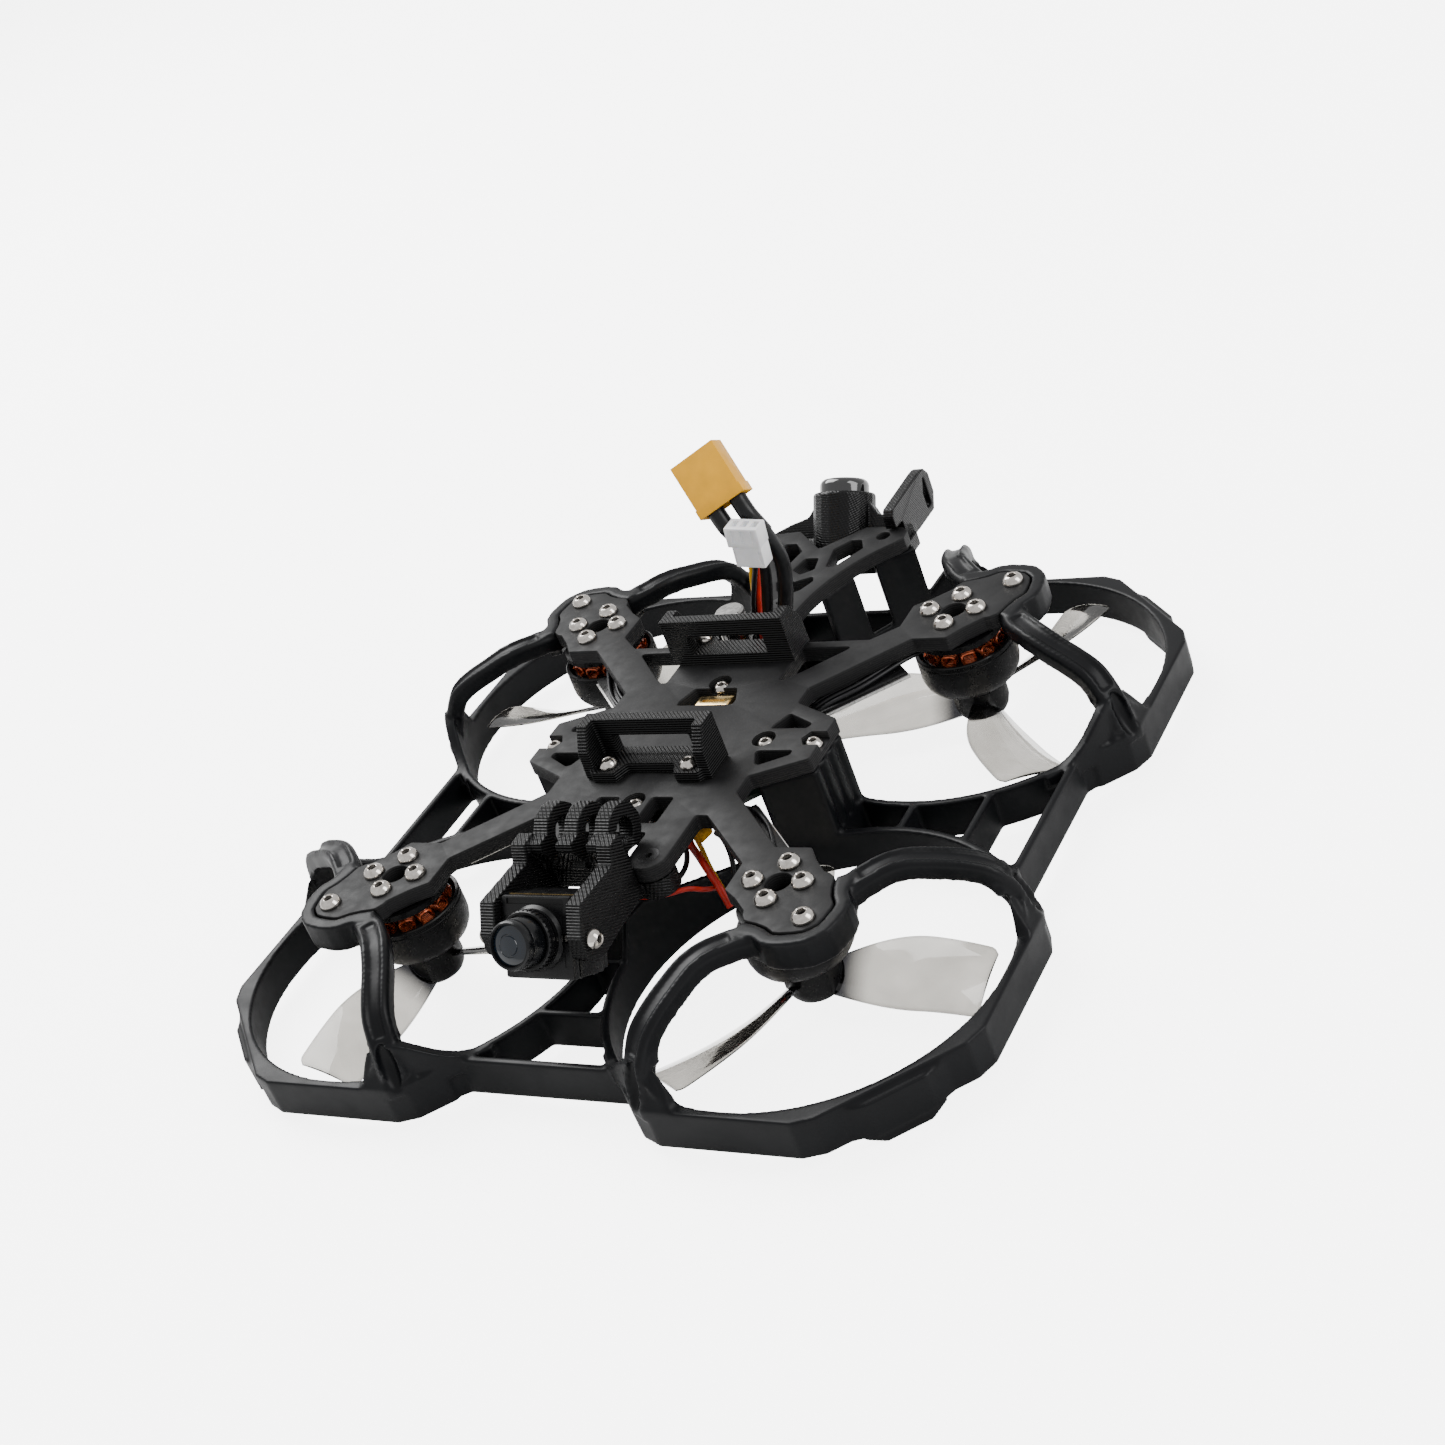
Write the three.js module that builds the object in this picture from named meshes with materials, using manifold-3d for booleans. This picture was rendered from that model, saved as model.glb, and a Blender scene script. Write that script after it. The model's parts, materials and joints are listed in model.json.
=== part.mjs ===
// Ducted FPV drone with four inverted (pusher) motors, in millimetres.
// +Z is up, -Y is the front, +X is the right-hand side seen from behind.
import * as THREE from 'three';
import { ConvexGeometry } from 'three/addons/geometries/ConvexGeometry.js';
import { mergeVertices } from 'three/addons/utils/BufferGeometryUtils.js';
import Module from 'manifold-3d';

const wasm = await Module();
wasm.setup();

// Driving dimensions.
const MOTOR_XY = 39.6;          // motor axes stand at (+-39.6, +-39.6)
const REAR_OVERHANG = 11.6;     // the rear antenna arm reaches this far behind the guards
const GAP = 0.3;                // clearance between touching parts

const RING_BOTTOM = 2;
const RING_TOP = 9.5;
const RING_INNER = 35.2;        // duct bore radius
const RING_OUTER = 36.7;        // outside radius of the thin round wall
const RING_APOTHEM = 36.8;      // centre to facet on the octagonal outer side
const CORNER_CUT = 39;          // centre to the blunt faces across the octagon's corners
const FACET_END = 125.4;        // degrees from +X where the octagon meets a link bar
const COLLAR_BOTTOM = 21;       // underside of the collars round the motor pads

const PLATE_TOP = 26.5;
const PLATE_THICK = 3;
const PLATE_BOTTOM = PLATE_TOP - PLATE_THICK;
const PAD_BOLT_RADIUS = 4.69;
const GUARD_BOLT = 8.8;         // outward offset of the guard screw from the motor axis, on both axes
const STACK_BOLT = 18.03;       // 25.5 mm square stack pattern turned 45 degrees
const WING_BOLT = 27.8;
const COUNTERBORE = 1.6;        // depth of the recesses for the stack and wing screws
const PRONG = [11.2, -33.3];    // centre of the right front prong
const PRONG_RADIUS = 3.8;
const BRACKET_BOLT_X = 8.5;
const BRACKET_BOLTS = [-10.5, 29.8];
const POST_TOP = PLATE_BOTTOM - GAP;

const PROP_RADIUS = 31.75;
const PROP_BLADES = 3;
const BLADE_HEIGHT = 6.75;      // middle of the blades at the hub
const HUB_RADIUS = 5.2;
const BELL_RADIUS = 9.4;
const BELL_BOTTOM = 10.9;
const BELL_TOP = 19.8;
const BASE_BOTTOM = 21.4;       // underside of the motor's mounting base
const SHAFT_RADIUS = 1.5;
const SHAFT_TOP = 18.2;

const CAMERA_PIVOT = [-53.6, 25.2];  // y, z of the tilt axis
const PIVOT_TO_FACE = 1;             // the camera's front face stands this far ahead of the axis
const CAMERA_TILT = 30;              // degrees above the horizon
const CAMERA_HALF = 7;
const CHEEK_INNER = 7.3;
const CHEEK_OUTER = 10.3;
const KNUCKLE = [-32.3, 31];         // y, z of the action-camera knuckles' bore
const KNUCKLE_PITCH = 6.3;
const KNUCKLE_THICK = 3;
const BOSS_BOTTOM = 19.6;            // underside of the bosses below the prongs

const MOTORS = {
  front_right: { side: 1, end: -1, prop: 0 },
  front_left: { side: -1, end: -1, prop: 22 },
  rear_right: { side: 1, end: 1, prop: -51 },
  rear_left: { side: -1, end: 1, prop: -175 },
};

const material = (color, roughness, metalness = 0) =>
  new THREE.MeshStandardMaterial({ color, roughness, metalness });
const carbon = material(0x2e3033, 0.55);
const guardPlastic = material(0x2b2d31, 0.5);
const printedBlack = material(0x1d1e20, 0.75);
const glossBlack = material(0x101113, 0.2);
const steel = material(0xd8d4cc, 0.25, 1);
const copper = material(0xb4552c, 0.4, 1);
const bellMetal = material(0x17181a, 0.3, 0.8);
const smoke = material(0x6b6862, 0.15);
const board = material(0x16211a, 0.5);
const gold = material(0xc9a45c, 0.3, 1);
const yellow = material(0xf0cf4a, 0.45);
const white = material(0xf2f2f4, 0.45);
const silicone = material(0x24262a, 0.6);
const lensGlass = material(0x1a2026, 0.15);

const drone = new THREE.Group();
const group = new THREE.Group();
drone.position.y = -REAR_OVERHANG / 2;
group.add(drone);

// ---------------------------------------------------------------- helpers

// The geometry with only its positions left and its shared vertices merged.
function weld(geometry) {
  const copy = geometry.clone();
  for (const name of Object.keys(copy.attributes)) {
    if (name !== 'position') copy.deleteAttribute(name);
  }
  return mergeVertices(copy, 1e-4);
}

// Turns every triangle round, after a mirror has turned the surface inside out.
function flipTriangles(geometry) {
  const index = geometry.index.array;
  for (let i = 0; i < index.length; i += 3) [index[i], index[i + 1]] = [index[i + 1], index[i]];
  return geometry;
}

function solid(geometry) {
  const welded = weld(geometry);
  return new wasm.Manifold(new wasm.Mesh({
    numProp: 3,
    vertProperties: new Float32Array(welded.attributes.position.array),
    triVerts: new Uint32Array(welded.index.array),
  }));
}

function toGeometry(body) {
  const mesh = body.getMesh();
  const geometry = new THREE.BufferGeometry();
  geometry.setAttribute('position', new THREE.BufferAttribute(mesh.vertProperties, 3));
  geometry.setIndex(new THREE.BufferAttribute(mesh.triVerts, 1));
  geometry.computeVertexNormals();
  return geometry;
}

const union = (...bodies) => bodies.flat().reduce((sum, body) => sum.add(body));
const cut = (body, ...tools) => tools.flat().reduce((rest, tool) => rest.subtract(tool), body);

function place(name, shape, look, parent = drone) {
  const geometry = shape.isBufferGeometry ? shape : toGeometry(shape);
  const mesh = new THREE.Mesh(geometry, look);
  mesh.name = name;
  parent.add(mesh);
  return mesh;
}

function outline(points) {
  return new THREE.Shape(points.map(([x, y]) => new THREE.Vector2(x, y)));
}

// A straight-sided block with the given outline, between two heights.
function prism(points, bottom, top) {
  const geometry = new THREE.ExtrudeGeometry(outline(points), { depth: top - bottom, bevelEnabled: false });
  return solid(geometry.translate(0, 0, bottom));
}

// The same block with its outline given as (y, z) pairs and running along X.
function sidePrism(points, from, to) {
  const geometry = new THREE.ExtrudeGeometry(outline(points), { depth: to - from, bevelEnabled: false });
  const toYZ = new THREE.Matrix4().set(0, 0, 1, from, 1, 0, 0, 0, 0, 1, 0, 0, 0, 0, 0, 1);
  return solid(geometry.applyMatrix4(toYZ));
}

function box(x0, x1, y0, y1, z0, z1) {
  return prism([[x0, y0], [x1, y0], [x1, y1], [x0, y1]], z0, z1);
}

function cylinder(x, y, radius, bottom, top, sides = 24) {
  const geometry = new THREE.CylinderGeometry(radius, radius, top - bottom, sides);
  return solid(geometry.rotateX(Math.PI / 2).translate(x, y, (top + bottom) / 2));
}

function crossCylinder(y, z, radius, from, to, sides = 20) {
  const geometry = new THREE.CylinderGeometry(radius, radius, to - from, sides);
  return solid(geometry.rotateZ(Math.PI / 2).translate((from + to) / 2, y, z));
}

// A turned solid: profile of (radius, height) pairs, starting and ending on the axis or closed.
function turned(profile, sides = 32) {
  const points = profile.map(([radius, height]) => new THREE.Vector2(radius, height));
  return new THREE.LatheGeometry(points, sides).rotateX(Math.PI / 2);
}

// Copies a body into another quadrant.
function quadrant(geometry, side, end) {
  const copy = weld(geometry).scale(side, end, 1);
  return solid(side * end < 0 ? flipTriangles(copy) : copy);
}

const polar = (radius, degrees) => {
  const angle = THREE.MathUtils.degToRad(degrees);
  return [radius * Math.cos(angle), radius * Math.sin(angle)];
};

function arc(cx, cy, radius, from, to, steps) {
  return Array.from({ length: steps + 1 }, (_, i) => {
    const [x, y] = polar(radius, from + (to - from) * i / steps);
    return [cx + x, cy + y];
  });
}

// ---------------------------------------------------------------- main plate

// Outline of a motor pad about its motor axis, from the inner edge to the outer diagonal.
const PAD_HALF = [
  [-4.7, -9.1], [2.15, -9.1], [4.3, -6.1], [7.3, -3.0], [8.4, -2.7], [9.6, -1.8], [9.9, -0.9],
  [10.3, 0.9], [11.1, 3.0], [12.3, 4.8], [12.4, 5.9], [12.15, 8.2], [11.7, 10.0], [10.9, 10.9],
];
const PAD_OUTLINE = [...PAD_HALF, ...PAD_HALF.slice(0, -1).reverse().map(([a, b]) => [b, a])];

function plateQuarter() {
  const pad = PAD_OUTLINE.map(([a, b]) => [MOTOR_XY + a, MOTOR_XY + b]);
  return [[30, 0], [30, 6], [20, 11], [20, 15.6], ...pad, [17.4, 22.2]];
}

function mainPlate() {
  const prongTip = arc(PRONG[0], -PRONG[1], PRONG_RADIUS, 0, 180, 10);
  const front = [...plateQuarter(), [15, 22.1], [15, 33], ...prongTip, [7.4, 27], [0, 27]];
  const rear = [...plateQuarter().slice(0, -1), [26, 30.8], [0, 30.8]];
  const flip = (points, side, end) => points.map(([x, y]) => [x * side, y * end]);
  const edge = [
    ...flip(rear, 1, 1), ...flip(rear, -1, 1).reverse(),
    ...flip(front, -1, -1), ...flip(front, 1, -1).reverse(),
  ];
  const unique = edge.filter(([x, y], i) => {
    const [px, py] = edge[(i + edge.length - 1) % edge.length];
    return Math.hypot(x - px, y - py) > 1e-6;
  });
  let plate = prism(unique, PLATE_BOTTOM, PLATE_TOP);
  const through = (points) => prism(points, PLATE_BOTTOM - 1, PLATE_TOP + 1);
  const drill = (x, y, radius, sides = 6) =>
    cylinder(x, y, radius, PLATE_BOTTOM - 1, PLATE_TOP + 1, sides);
  for (const side of [1, -1]) {
    const holes = [
      [[23.5, 28.7], [12.3, 28.7], [12.3, 18.5], [13.5, 18.5], [15.5, 20.3]],
      [[19.9, 7.7], [18.3, 4.5], [18, 3.2], [25.4, 3.2], [25.8, 4.5]],
      [[18, -3.5], [19.6, -7.2], [20.5, -7.7], [25.5, -4.8], [25.5, -3.5]],
      [[3.4, -17], [3.4, -24.3], [7.9, -24.3], [7.9, -17]],
    ];
    for (const points of holes) plate = cut(plate, through(points.map(([x, y]) => [x * side, y])));
    const notch = [[25.7, 0], [26.8, 2], [31, 2], [31, -2], [26.8, -2]].map(([x, y]) => [x * side, y]);
    plate = cut(plate, prism(notch, PLATE_TOP - COUNTERBORE, PLATE_TOP + 1), drill(side * WING_BOLT, 0, 1.1));
    for (const [x, y] of [[side * STACK_BOLT, 0], [0, side * STACK_BOLT]]) {
      const counterbore = cylinder(x, y, 2.2, PLATE_TOP - COUNTERBORE, PLATE_TOP + 1, 12);
      plate = cut(plate, drill(x, y, 1.1), counterbore);
    }
    for (const y of BRACKET_BOLTS) plate = cut(plate, drill(side * BRACKET_BOLT_X, y, 0.9));
    plate = cut(plate, drill(side * PRONG[0], PRONG[1], 1.1));
    for (const end of [1, -1]) {
      const [x, y] = [side * MOTOR_XY, end * MOTOR_XY];
      plate = cut(plate, drill(x, y, 2.4, 16), drill(x + side * GUARD_BOLT, y + end * GUARD_BOLT, 1.1));
      for (const angle of [0, 90, 180, 270]) {
        const [dx, dy] = polar(PAD_BOLT_RADIUS, angle);
        plate = cut(plate, drill(x + dx, y + dy, 1.1));
      }
    }
  }
  return cut(plate, through([[-6, 11], [6, 11], [6, 12.5], [4.5, 16.3], [-4.5, 16.3], [-6, 12.5]]));
}

place('main_plate', mainPlate(), carbon);

// ---------------------------------------------------------------- prop guard

const octagonRadius = (degrees) => {
  const turn = ((degrees + 22.5) % 45 + 45) % 45 - 22.5;
  return RING_APOTHEM / Math.cos(THREE.MathUtils.degToRad(turn));
};

// The two ends of the blunt face across an octagon corner.
function bluntCorner(degrees) {
  const lean = Math.PI / 8;
  const half = (RING_APOTHEM - CORNER_CUT * Math.cos(lean)) / Math.sin(lean);
  const turn = THREE.MathUtils.radToDeg(Math.atan2(half, CORNER_CUT));
  return [-turn, turn].map((side) => polar(Math.hypot(half, CORNER_CUT), degrees + side));
}

// Outer outline of the rear right duct: octagonal on its free side, round towards its neighbours.
function ringOutline() {
  const start = 90 - FACET_END;
  const ends = [start, FACET_END].map((angle) => polar(octagonRadius(angle), angle));
  const corners = [-22.5, 22.5, 67.5, 112.5].flatMap(bluntCorner);
  const round = arc(0, 0, RING_OUTER, FACET_END + 1, start + 359, 20);
  return [ends[0], ...corners, ends[1], ...round].map(([x, y]) => [x + MOTOR_XY, y + MOTOR_XY]);
}

// A piece of duct wall between two directions, from the duct's bottom to a given height.
function wallSegment(from, to, top, inner = RING_INNER, outer = RING_OUTER) {
  const steps = Math.max(2, Math.round((to - from) / 6));
  const points = [
    ...arc(MOTOR_XY, MOTOR_XY, outer, from, to, steps),
    ...arc(MOTOR_XY, MOTOR_XY, inner, to, from, steps),
  ];
  return prism(points, RING_BOTTOM, top);
}

// Centre line of a guard arm about the motor axis: along its own axis, across it, and height.
const ARM_LINE = [
  [10.6, 1.2, 23.9], [13.6, -2.7, 24.6], [16.6, -5.7, 24.9], [19.3, -7.7, 24.6],
  [22.6, -9.5, 23.4], [26.7, -11.3, 21.8],
  [30, -12.7, 19.8], [32, -13.7, 16.6], [33.2, -14.4, 13.3], [34.5, -15, 7.5],
];

function guardArm() {
  const path = new THREE.CatmullRomCurve3(
    ARM_LINE.map(([a, b, z]) => new THREE.Vector3(MOTOR_XY + a, MOTOR_XY + b, z)));
  const [half, deep, chamfer] = [2.1, 1.8, 0.9];
  const section = outline([
    [-deep, -half + chamfer], [-deep + chamfer, -half], [deep, -half],
    [deep, half], [-deep + chamfer, half], [-deep, half - chamfer],
  ]);
  return new THREE.ExtrudeGeometry(section, { steps: 12, extrudePath: path, bevelEnabled: false });
}

// The arm's foot spreads over the facets on both sides of the nearest corner of the duct.
const FOOT_POINTS = [
  [29.4, -15, 18.2], [31.3, -10.6, 18.2], [30.9, -15.6, 17], [32.9, -11, 17],
  ...[7.5, 9.3].flatMap((z) =>
    [[34.4, -7.9, z], [36.8, -8.5, z], [36.8, -14, z], [33.6, -18.4, z], [30.2, -19, z]]),
];

function armFoot() {
  const corners = FOOT_POINTS.map(([a, b, z]) => new THREE.Vector3(MOTOR_XY + a, MOTOR_XY + b, z));
  return new ConvexGeometry(corners);
}

// Swaps X and Y, which mirrors a body across its duct's diagonal.
function swapped(geometry) {
  const exchange = new THREE.Matrix4().set(0, 1, 0, 0, 1, 0, 0, 0, 0, 0, 1, 0, 0, 0, 0, 1);
  return solid(flipTriangles(weld(geometry).applyMatrix4(exchange)));
}

function offsetLine(points, distance) {
  return points.map(([x, y], i) => {
    const [ax, ay] = points[Math.max(i - 1, 0)];
    const [bx, by] = points[Math.min(i + 1, points.length - 1)];
    const length = Math.hypot(bx - ax, by - ay);
    return [x + distance * (by - ay) / length, y - distance * (bx - ax) / length];
  });
}

// The collar round a pad's tip and the shelf under it, which the guard screw pulls against the pad.
function guardCollar() {
  const tip = PAD_OUTLINE.slice(5, -5).map(([a, b]) => [MOTOR_XY + a, MOTOR_XY + b]);
  const outer = offsetLine(tip, 2.9);
  const inner = [[MOTOR_XY - 1.5, MOTOR_XY + 9], [MOTOR_XY + 9, MOTOR_XY - 1.5]];
  const collar = prism([...outer, ...offsetLine(tip, GAP).reverse()], COLLAR_BOTTOM, PLATE_TOP);
  const shelf = prism([...outer, ...inner], COLLAR_BOTTOM, POST_TOP);
  const motorSpace = cylinder(MOTOR_XY, MOTOR_XY, BELL_RADIUS + 0.9, 0, PLATE_TOP, 24);
  const screw = cylinder(MOTOR_XY + GUARD_BOLT, MOTOR_XY + GUARD_BOLT, 1.3, 0, PLATE_TOP + 1, 8);
  return cut(union(collar, cut(shelf, motorSpace)), screw);
}

// Facet outward of the duct: a slight bulge with a flat foot under its middle.
function guardFoot() {
  const frame = new THREE.Matrix4().makeRotationZ(-Math.PI / 4).setPosition(MOTOR_XY, MOTOR_XY, 0);
  const bulge = new THREE.ExtrudeGeometry(
    outline([[-9, RING_APOTHEM - 0.4], [9, RING_APOTHEM - 0.4], [9, RING_APOTHEM],
      [5, 38.2], [-5, 38.2], [-9, RING_APOTHEM]]),
    { depth: RING_TOP - RING_BOTTOM - 1, bevelEnabled: false }).translate(0, 0, RING_BOTTOM);
  const foot = new THREE.ExtrudeGeometry(
    outline([[-7, RING_BOTTOM + 0.5], [-7, RING_BOTTOM], [-4, 0],
      [4, 0], [7, RING_BOTTOM], [7, RING_BOTTOM + 0.5]]),
    { depth: 2.4, bevelEnabled: false }).rotateX(Math.PI / 2).translate(0, 38, 0);
  return union(solid(bulge.applyMatrix4(frame)), solid(foot.applyMatrix4(frame)));
}

function guardQuarter(isRear) {
  const arms = union([guardArm(), armFoot()].flatMap((half) => [solid(half), swapped(half)]));
  const duct = union(prism(ringOutline(), RING_BOTTOM, RING_TOP), arms, guardFoot(), guardCollar());
  const bore = cylinder(MOTOR_XY, MOTOR_XY, RING_INNER, -1, 16, 48);
  const padEdge = offsetLine(PAD_OUTLINE, GAP).map(([a, b]) => [MOTOR_XY + a, MOTOR_XY + b]);
  const padSpace = prism(padEdge, POST_TOP, 30);
  let quarter = cut(duct, bore, padSpace);
  quarter = union(quarter, wallSegment(237, 253.5, POST_TOP));
  if (isRear) quarter = union(quarter, wallSegment(148, 161, POST_TOP), wallSegment(126, 140, POST_TOP));
  return toGeometry(quarter);
}

function linkBars() {
  const bars = [];
  const ribs = [[40.9, 3.3], [54.6, 6.6]];
  for (const way of [1, -1]) {
    const at = (near, far) => (way > 0 ? [near, far] : [-far, -near]);
    bars.push(box(-18.6, 18.6, ...at(66.4, 67.9), RING_BOTTOM, RING_TOP));
    bars.push(box(...at(66.4, 67.9), -18.6, 18.6, RING_BOTTOM, RING_TOP));
    for (const [along, half] of ribs) {
      bars.push(box(-half, half, ...at(along - 0.6, along + 0.6), RING_BOTTOM, RING_TOP));
      bars.push(box(...at(along - 0.6, along + 0.6), -half, half, RING_BOTTOM, RING_TOP));
    }
  }
  return bars;
}

// The post under each wing closes the space between two ducts and has grooves on its outer face.
function wingPost(side) {
  const face = side > 0 ? [28, 30] : [-30, -28];
  let post = box(...face, -5.6, 5.6, RING_BOTTOM, POST_TOP);
  for (const y of [-3.2, 0, 3.2]) post = cut(post, cylinder(side * 30.7, y, 1.2, RING_TOP, POST_TOP + 1, 8));
  return cut(post, cylinder(side * WING_BOLT, 0, 1.3, 12, POST_TOP + 1, 8));
}

function propGuard() {
  const rearQuarter = guardQuarter(true);
  const frontQuarter = guardQuarter(false);
  const quarters = [1, -1].flatMap((side) =>
    [quadrant(rearQuarter, side, 1), quadrant(frontQuarter, side, -1)]);
  return union(quarters, linkBars(), wingPost(1), wingPost(-1));
}

place('prop_guard', propGuard(), guardPlastic);

// ---------------------------------------------------------------- rear deck

const DECK_RADIUS = 34.4;       // the deck's sides follow the ducts

function rearDeck() {
  const edge = arc(MOTOR_XY, MOTOR_XY, DECK_RADIUS, 178, 131.5, 14);
  const half = [...edge, [17.9, 66.9], [17.6, 69.6], [16, 71], [7.6, 71.8]];
  const points = [...half, [0, 64.5], ...half.map(([x, y]) => [-x, y]).reverse()];
  let deck = prism(points.reverse(), PLATE_BOTTOM, PLATE_TOP);
  const through = (hole) => prism(hole, PLATE_BOTTOM - 1, PLATE_TOP + 1);
  deck = cut(deck, through([[0, 55.1], [2.4, 56.8], [1.5, 61], [-1.5, 61], [-2.4, 56.8]]));
  deck = cut(deck, through([
    [0, 47.8], [2.6, 49.4], [4.1, 52.4], [3.4, 54.1], [0, 52.4], [-3.4, 54.1], [-4.1, 52.4], [-2.6, 49.4],
  ]));
  const cell = [[3.7, 64], [4.8, 57.3], [6.6, 57.6], [10.2, 63.8], [8.6, 67], [6.3, 67]];
  for (const side of [1, -1]) {
    const hole = cell.map(([x, y]) => [x * side, y]);
    deck = cut(deck, through(side > 0 ? hole : hole.reverse()));
    deck = cut(deck, cylinder(side * 13, 68, 1.4, PLATE_BOTTOM - 1, PLATE_TOP + 1, 16));
  }
  return cut(deck, cylinder(0, 45, 1.6, PLATE_BOTTOM - 1, PLATE_TOP + 1, 16));
}

place('rear_deck', rearDeck(), carbon);

// ---------------------------------------------------------------- battery brackets

function batteryBracket() {
  const [wall, high, half] = [2.2, 9.7, 13.3];
  const base = PLATE_TOP + GAP / 3;
  let bracket = box(-half, half, 0, wall, base, base + high);
  const gusset = [[0, 0], [7, 0], [6.8, 5.5], [4.2, high], [0, high]].map(([y, z]) => [y, base + z]);
  bracket = union(bracket, sidePrism(gusset, half - 2.2, half), sidePrism(gusset, -half, -half + 2.2));
  const flange = [
    [-half, 0], [half, 0], [half, 5], [11.2, 8], [6.4, 8],
    [5, 5], [-5, 5], [-6.4, 8], [-11.2, 8], [-half, 5],
  ];
  bracket = union(bracket, prism(flange, base, base + 2));
  bracket = cut(bracket, box(-8.2, 8.2, -1, wall + 1, base + 2.2, base + 6.2));
  for (const x of [-BRACKET_BOLT_X, BRACKET_BOLT_X]) {
    bracket = cut(bracket, cylinder(x, 5.6, 1, PLATE_TOP - 1, base + 5, 14));
  }
  return toGeometry(bracket);
}

const bracket = batteryBracket();
place('battery_bracket_rear', bracket, printedBlack).position.y = 24.2;
place('battery_bracket_front', quadrant(bracket, 1, -1), printedBlack).position.y = -4.9;

// ---------------------------------------------------------------- camera mount and camera

function cameraMount() {
  const cheek = [
    [-33.5, 21.3], [-31, 28.4], [-37.3, 34.2], [-40.3, 34], [-41.7, 31.1], [-45.9, 31.3], [-52.8, 31.7],
    [-56, 26.9], [-56.3, 23.3], [-54.5, 21], [-52, 20.4], [-46.4, 21],
  ];
  const cheekLeft = sidePrism(cheek, -CHEEK_OUTER, -CHEEK_INNER);
  const cheekRight = sidePrism(cheek, CHEEK_INNER, CHEEK_OUTER);
  const wall = [
    [-39.6, 33.6], [-40, 32.2], [-36, 25.5], [-36, 21.3], [-33.5, 21.3], [-32.6, 25.5], [-36.5, 33.6],
  ];
  let mount = union(cheekLeft, cheekRight, sidePrism(wall, -CHEEK_INNER - 0.2, CHEEK_INNER + 0.2));
  const half = KNUCKLE_THICK / 2;
  for (const x of [-KNUCKLE_PITCH, 0, KNUCKLE_PITCH]) {
    const knuckle = union(
      crossCylinder(...KNUCKLE, 5.1, x - half, x + half, 12),
      sidePrism([[-37.6, 33.2], [-38, 27], [-33, 24], [-30.2, 26.8], [-30.2, 33]], x - half, x + half));
    mount = union(mount, cut(knuckle, crossCylinder(...KNUCKLE, 2.5, x - 2, x + 2, 10)));
  }
  const plateSpace = [box(-16, 16, -33, -20, POST_TOP, PLATE_TOP + GAP)];
  for (const side of [1, -1]) {
    const [x, y] = [side * PRONG[0], PRONG[1]];
    const armEdge = [[side * 8, -37], [side * 14, -35.5], [side * 14, -32], [side * 8, -32]];
    const arm = prism(armEdge, BOSS_BOTTOM, POST_TOP);
    const boss = union(cylinder(x, y, PRONG_RADIUS - 0.1, BOSS_BOTTOM, POST_TOP, 16), arm);
    mount = union(mount, cut(boss, cylinder(x, y, 1.2, BOSS_BOTTOM - 1, PLATE_TOP, 8)));
    plateSpace.push(cylinder(x, y, PRONG_RADIUS + GAP, POST_TOP, PLATE_TOP + 6, 16));
  }
  mount = cut(mount, plateSpace);
  const pivot = crossCylinder(...CAMERA_PIVOT, 1.3, -CHEEK_OUTER - 1, CHEEK_OUTER + 1);
  return cut(mount, pivot);
}

place('camera_mount', cameraMount(), printedBlack);

// The camera is drawn looking along +Z from its face centre, then turned to face forward and up.
const camera = new THREE.Group();
camera.position.set(0, ...CAMERA_PIVOT);
camera.rotation.x = THREE.MathUtils.degToRad(90 - CAMERA_TILT);
camera.translateZ(PIVOT_TO_FACE);
drone.add(camera);

function cameraBody() {
  const [front, back] = [CAMERA_HALF, CAMERA_HALF - 0.4];
  const block = union(box(-front, front, -front, front, -9, 0), box(-back, back, -back, back, -10.6, -8.9));
  const collar = cylinder(0, 0, 5.4, -0.4, 1.6, 20);
  const bore = cylinder(0, 0, 3.9, -4.5, 4.5, 16);
  const screws = crossCylinder(0, -PIVOT_TO_FACE, 1.25, -10, 10, 8);
  const screwHoles = cut(screws, box(-4.6, 4.6, -3, 3, -5, 3));
  return cut(union(block, collar), bore, screwHoles);
}

place('camera_body', cameraBody(), glossBlack, camera);
place('camera_lens', turned([
  [0, -3.6], [3.5, -3.6], [3.5, 3], [4.25, 3.2], [4.25, 7.6], [3.9, 8], [3.4, 8], [3.1, 7.6], [0, 8.1],
], 20), lensGlass, camera);
place('lens_lock_ring', turned([
  [3.8, 1.9], [5.1, 1.9], [5.1, 3.5], [4.6, 3.5], [4.6, 2.7], [3.8, 2.7], [3.8, 1.9],
], 20), printedBlack, camera);

// Button-head screw pointing down -Z with its head's underside at height 0 and a blind socket.
function buttonScrew(headRadius, headHeight, shankRadius, length) {
  const head = solid(turned([
    [0, 0], [headRadius, 0], [headRadius, headHeight * 0.3], [headRadius * 0.6, headHeight], [0, headHeight],
  ], 8));
  const shank = cylinder(0, 0, shankRadius, 0.1 - length, 0.1, 6);
  const socket = cylinder(0, 0, headRadius * 0.42, headHeight / 2, headHeight * 1.5, 6);
  return toGeometry(cut(union(head, shank), socket));
}

const cameraScrew = buttonScrew(1.75, 1.5, 0.95, 5.2);
for (const [name, side] of [['camera_screw_right', 1], ['camera_screw_left', -1]]) {
  const screw = place(name, cameraScrew, steel);
  screw.position.set(side * (CHEEK_OUTER + GAP), ...CAMERA_PIVOT);
  screw.rotation.y = side * Math.PI / 2;
}

// ---------------------------------------------------------------- motors and propellers

function motorStator() {
  const top = BASE_BOTTOM - 1;
  return turned([
    [0, SHAFT_TOP + GAP * 2], [5, SHAFT_TOP + GAP * 2], [5, 14.2], [7.9, 15.2], [7.9, SHAFT_TOP + 0.6],
    [7.2, top], [8.4, BASE_BOTTOM], [8.4, POST_TOP], [0, POST_TOP],
  ], 20);
}

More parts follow.
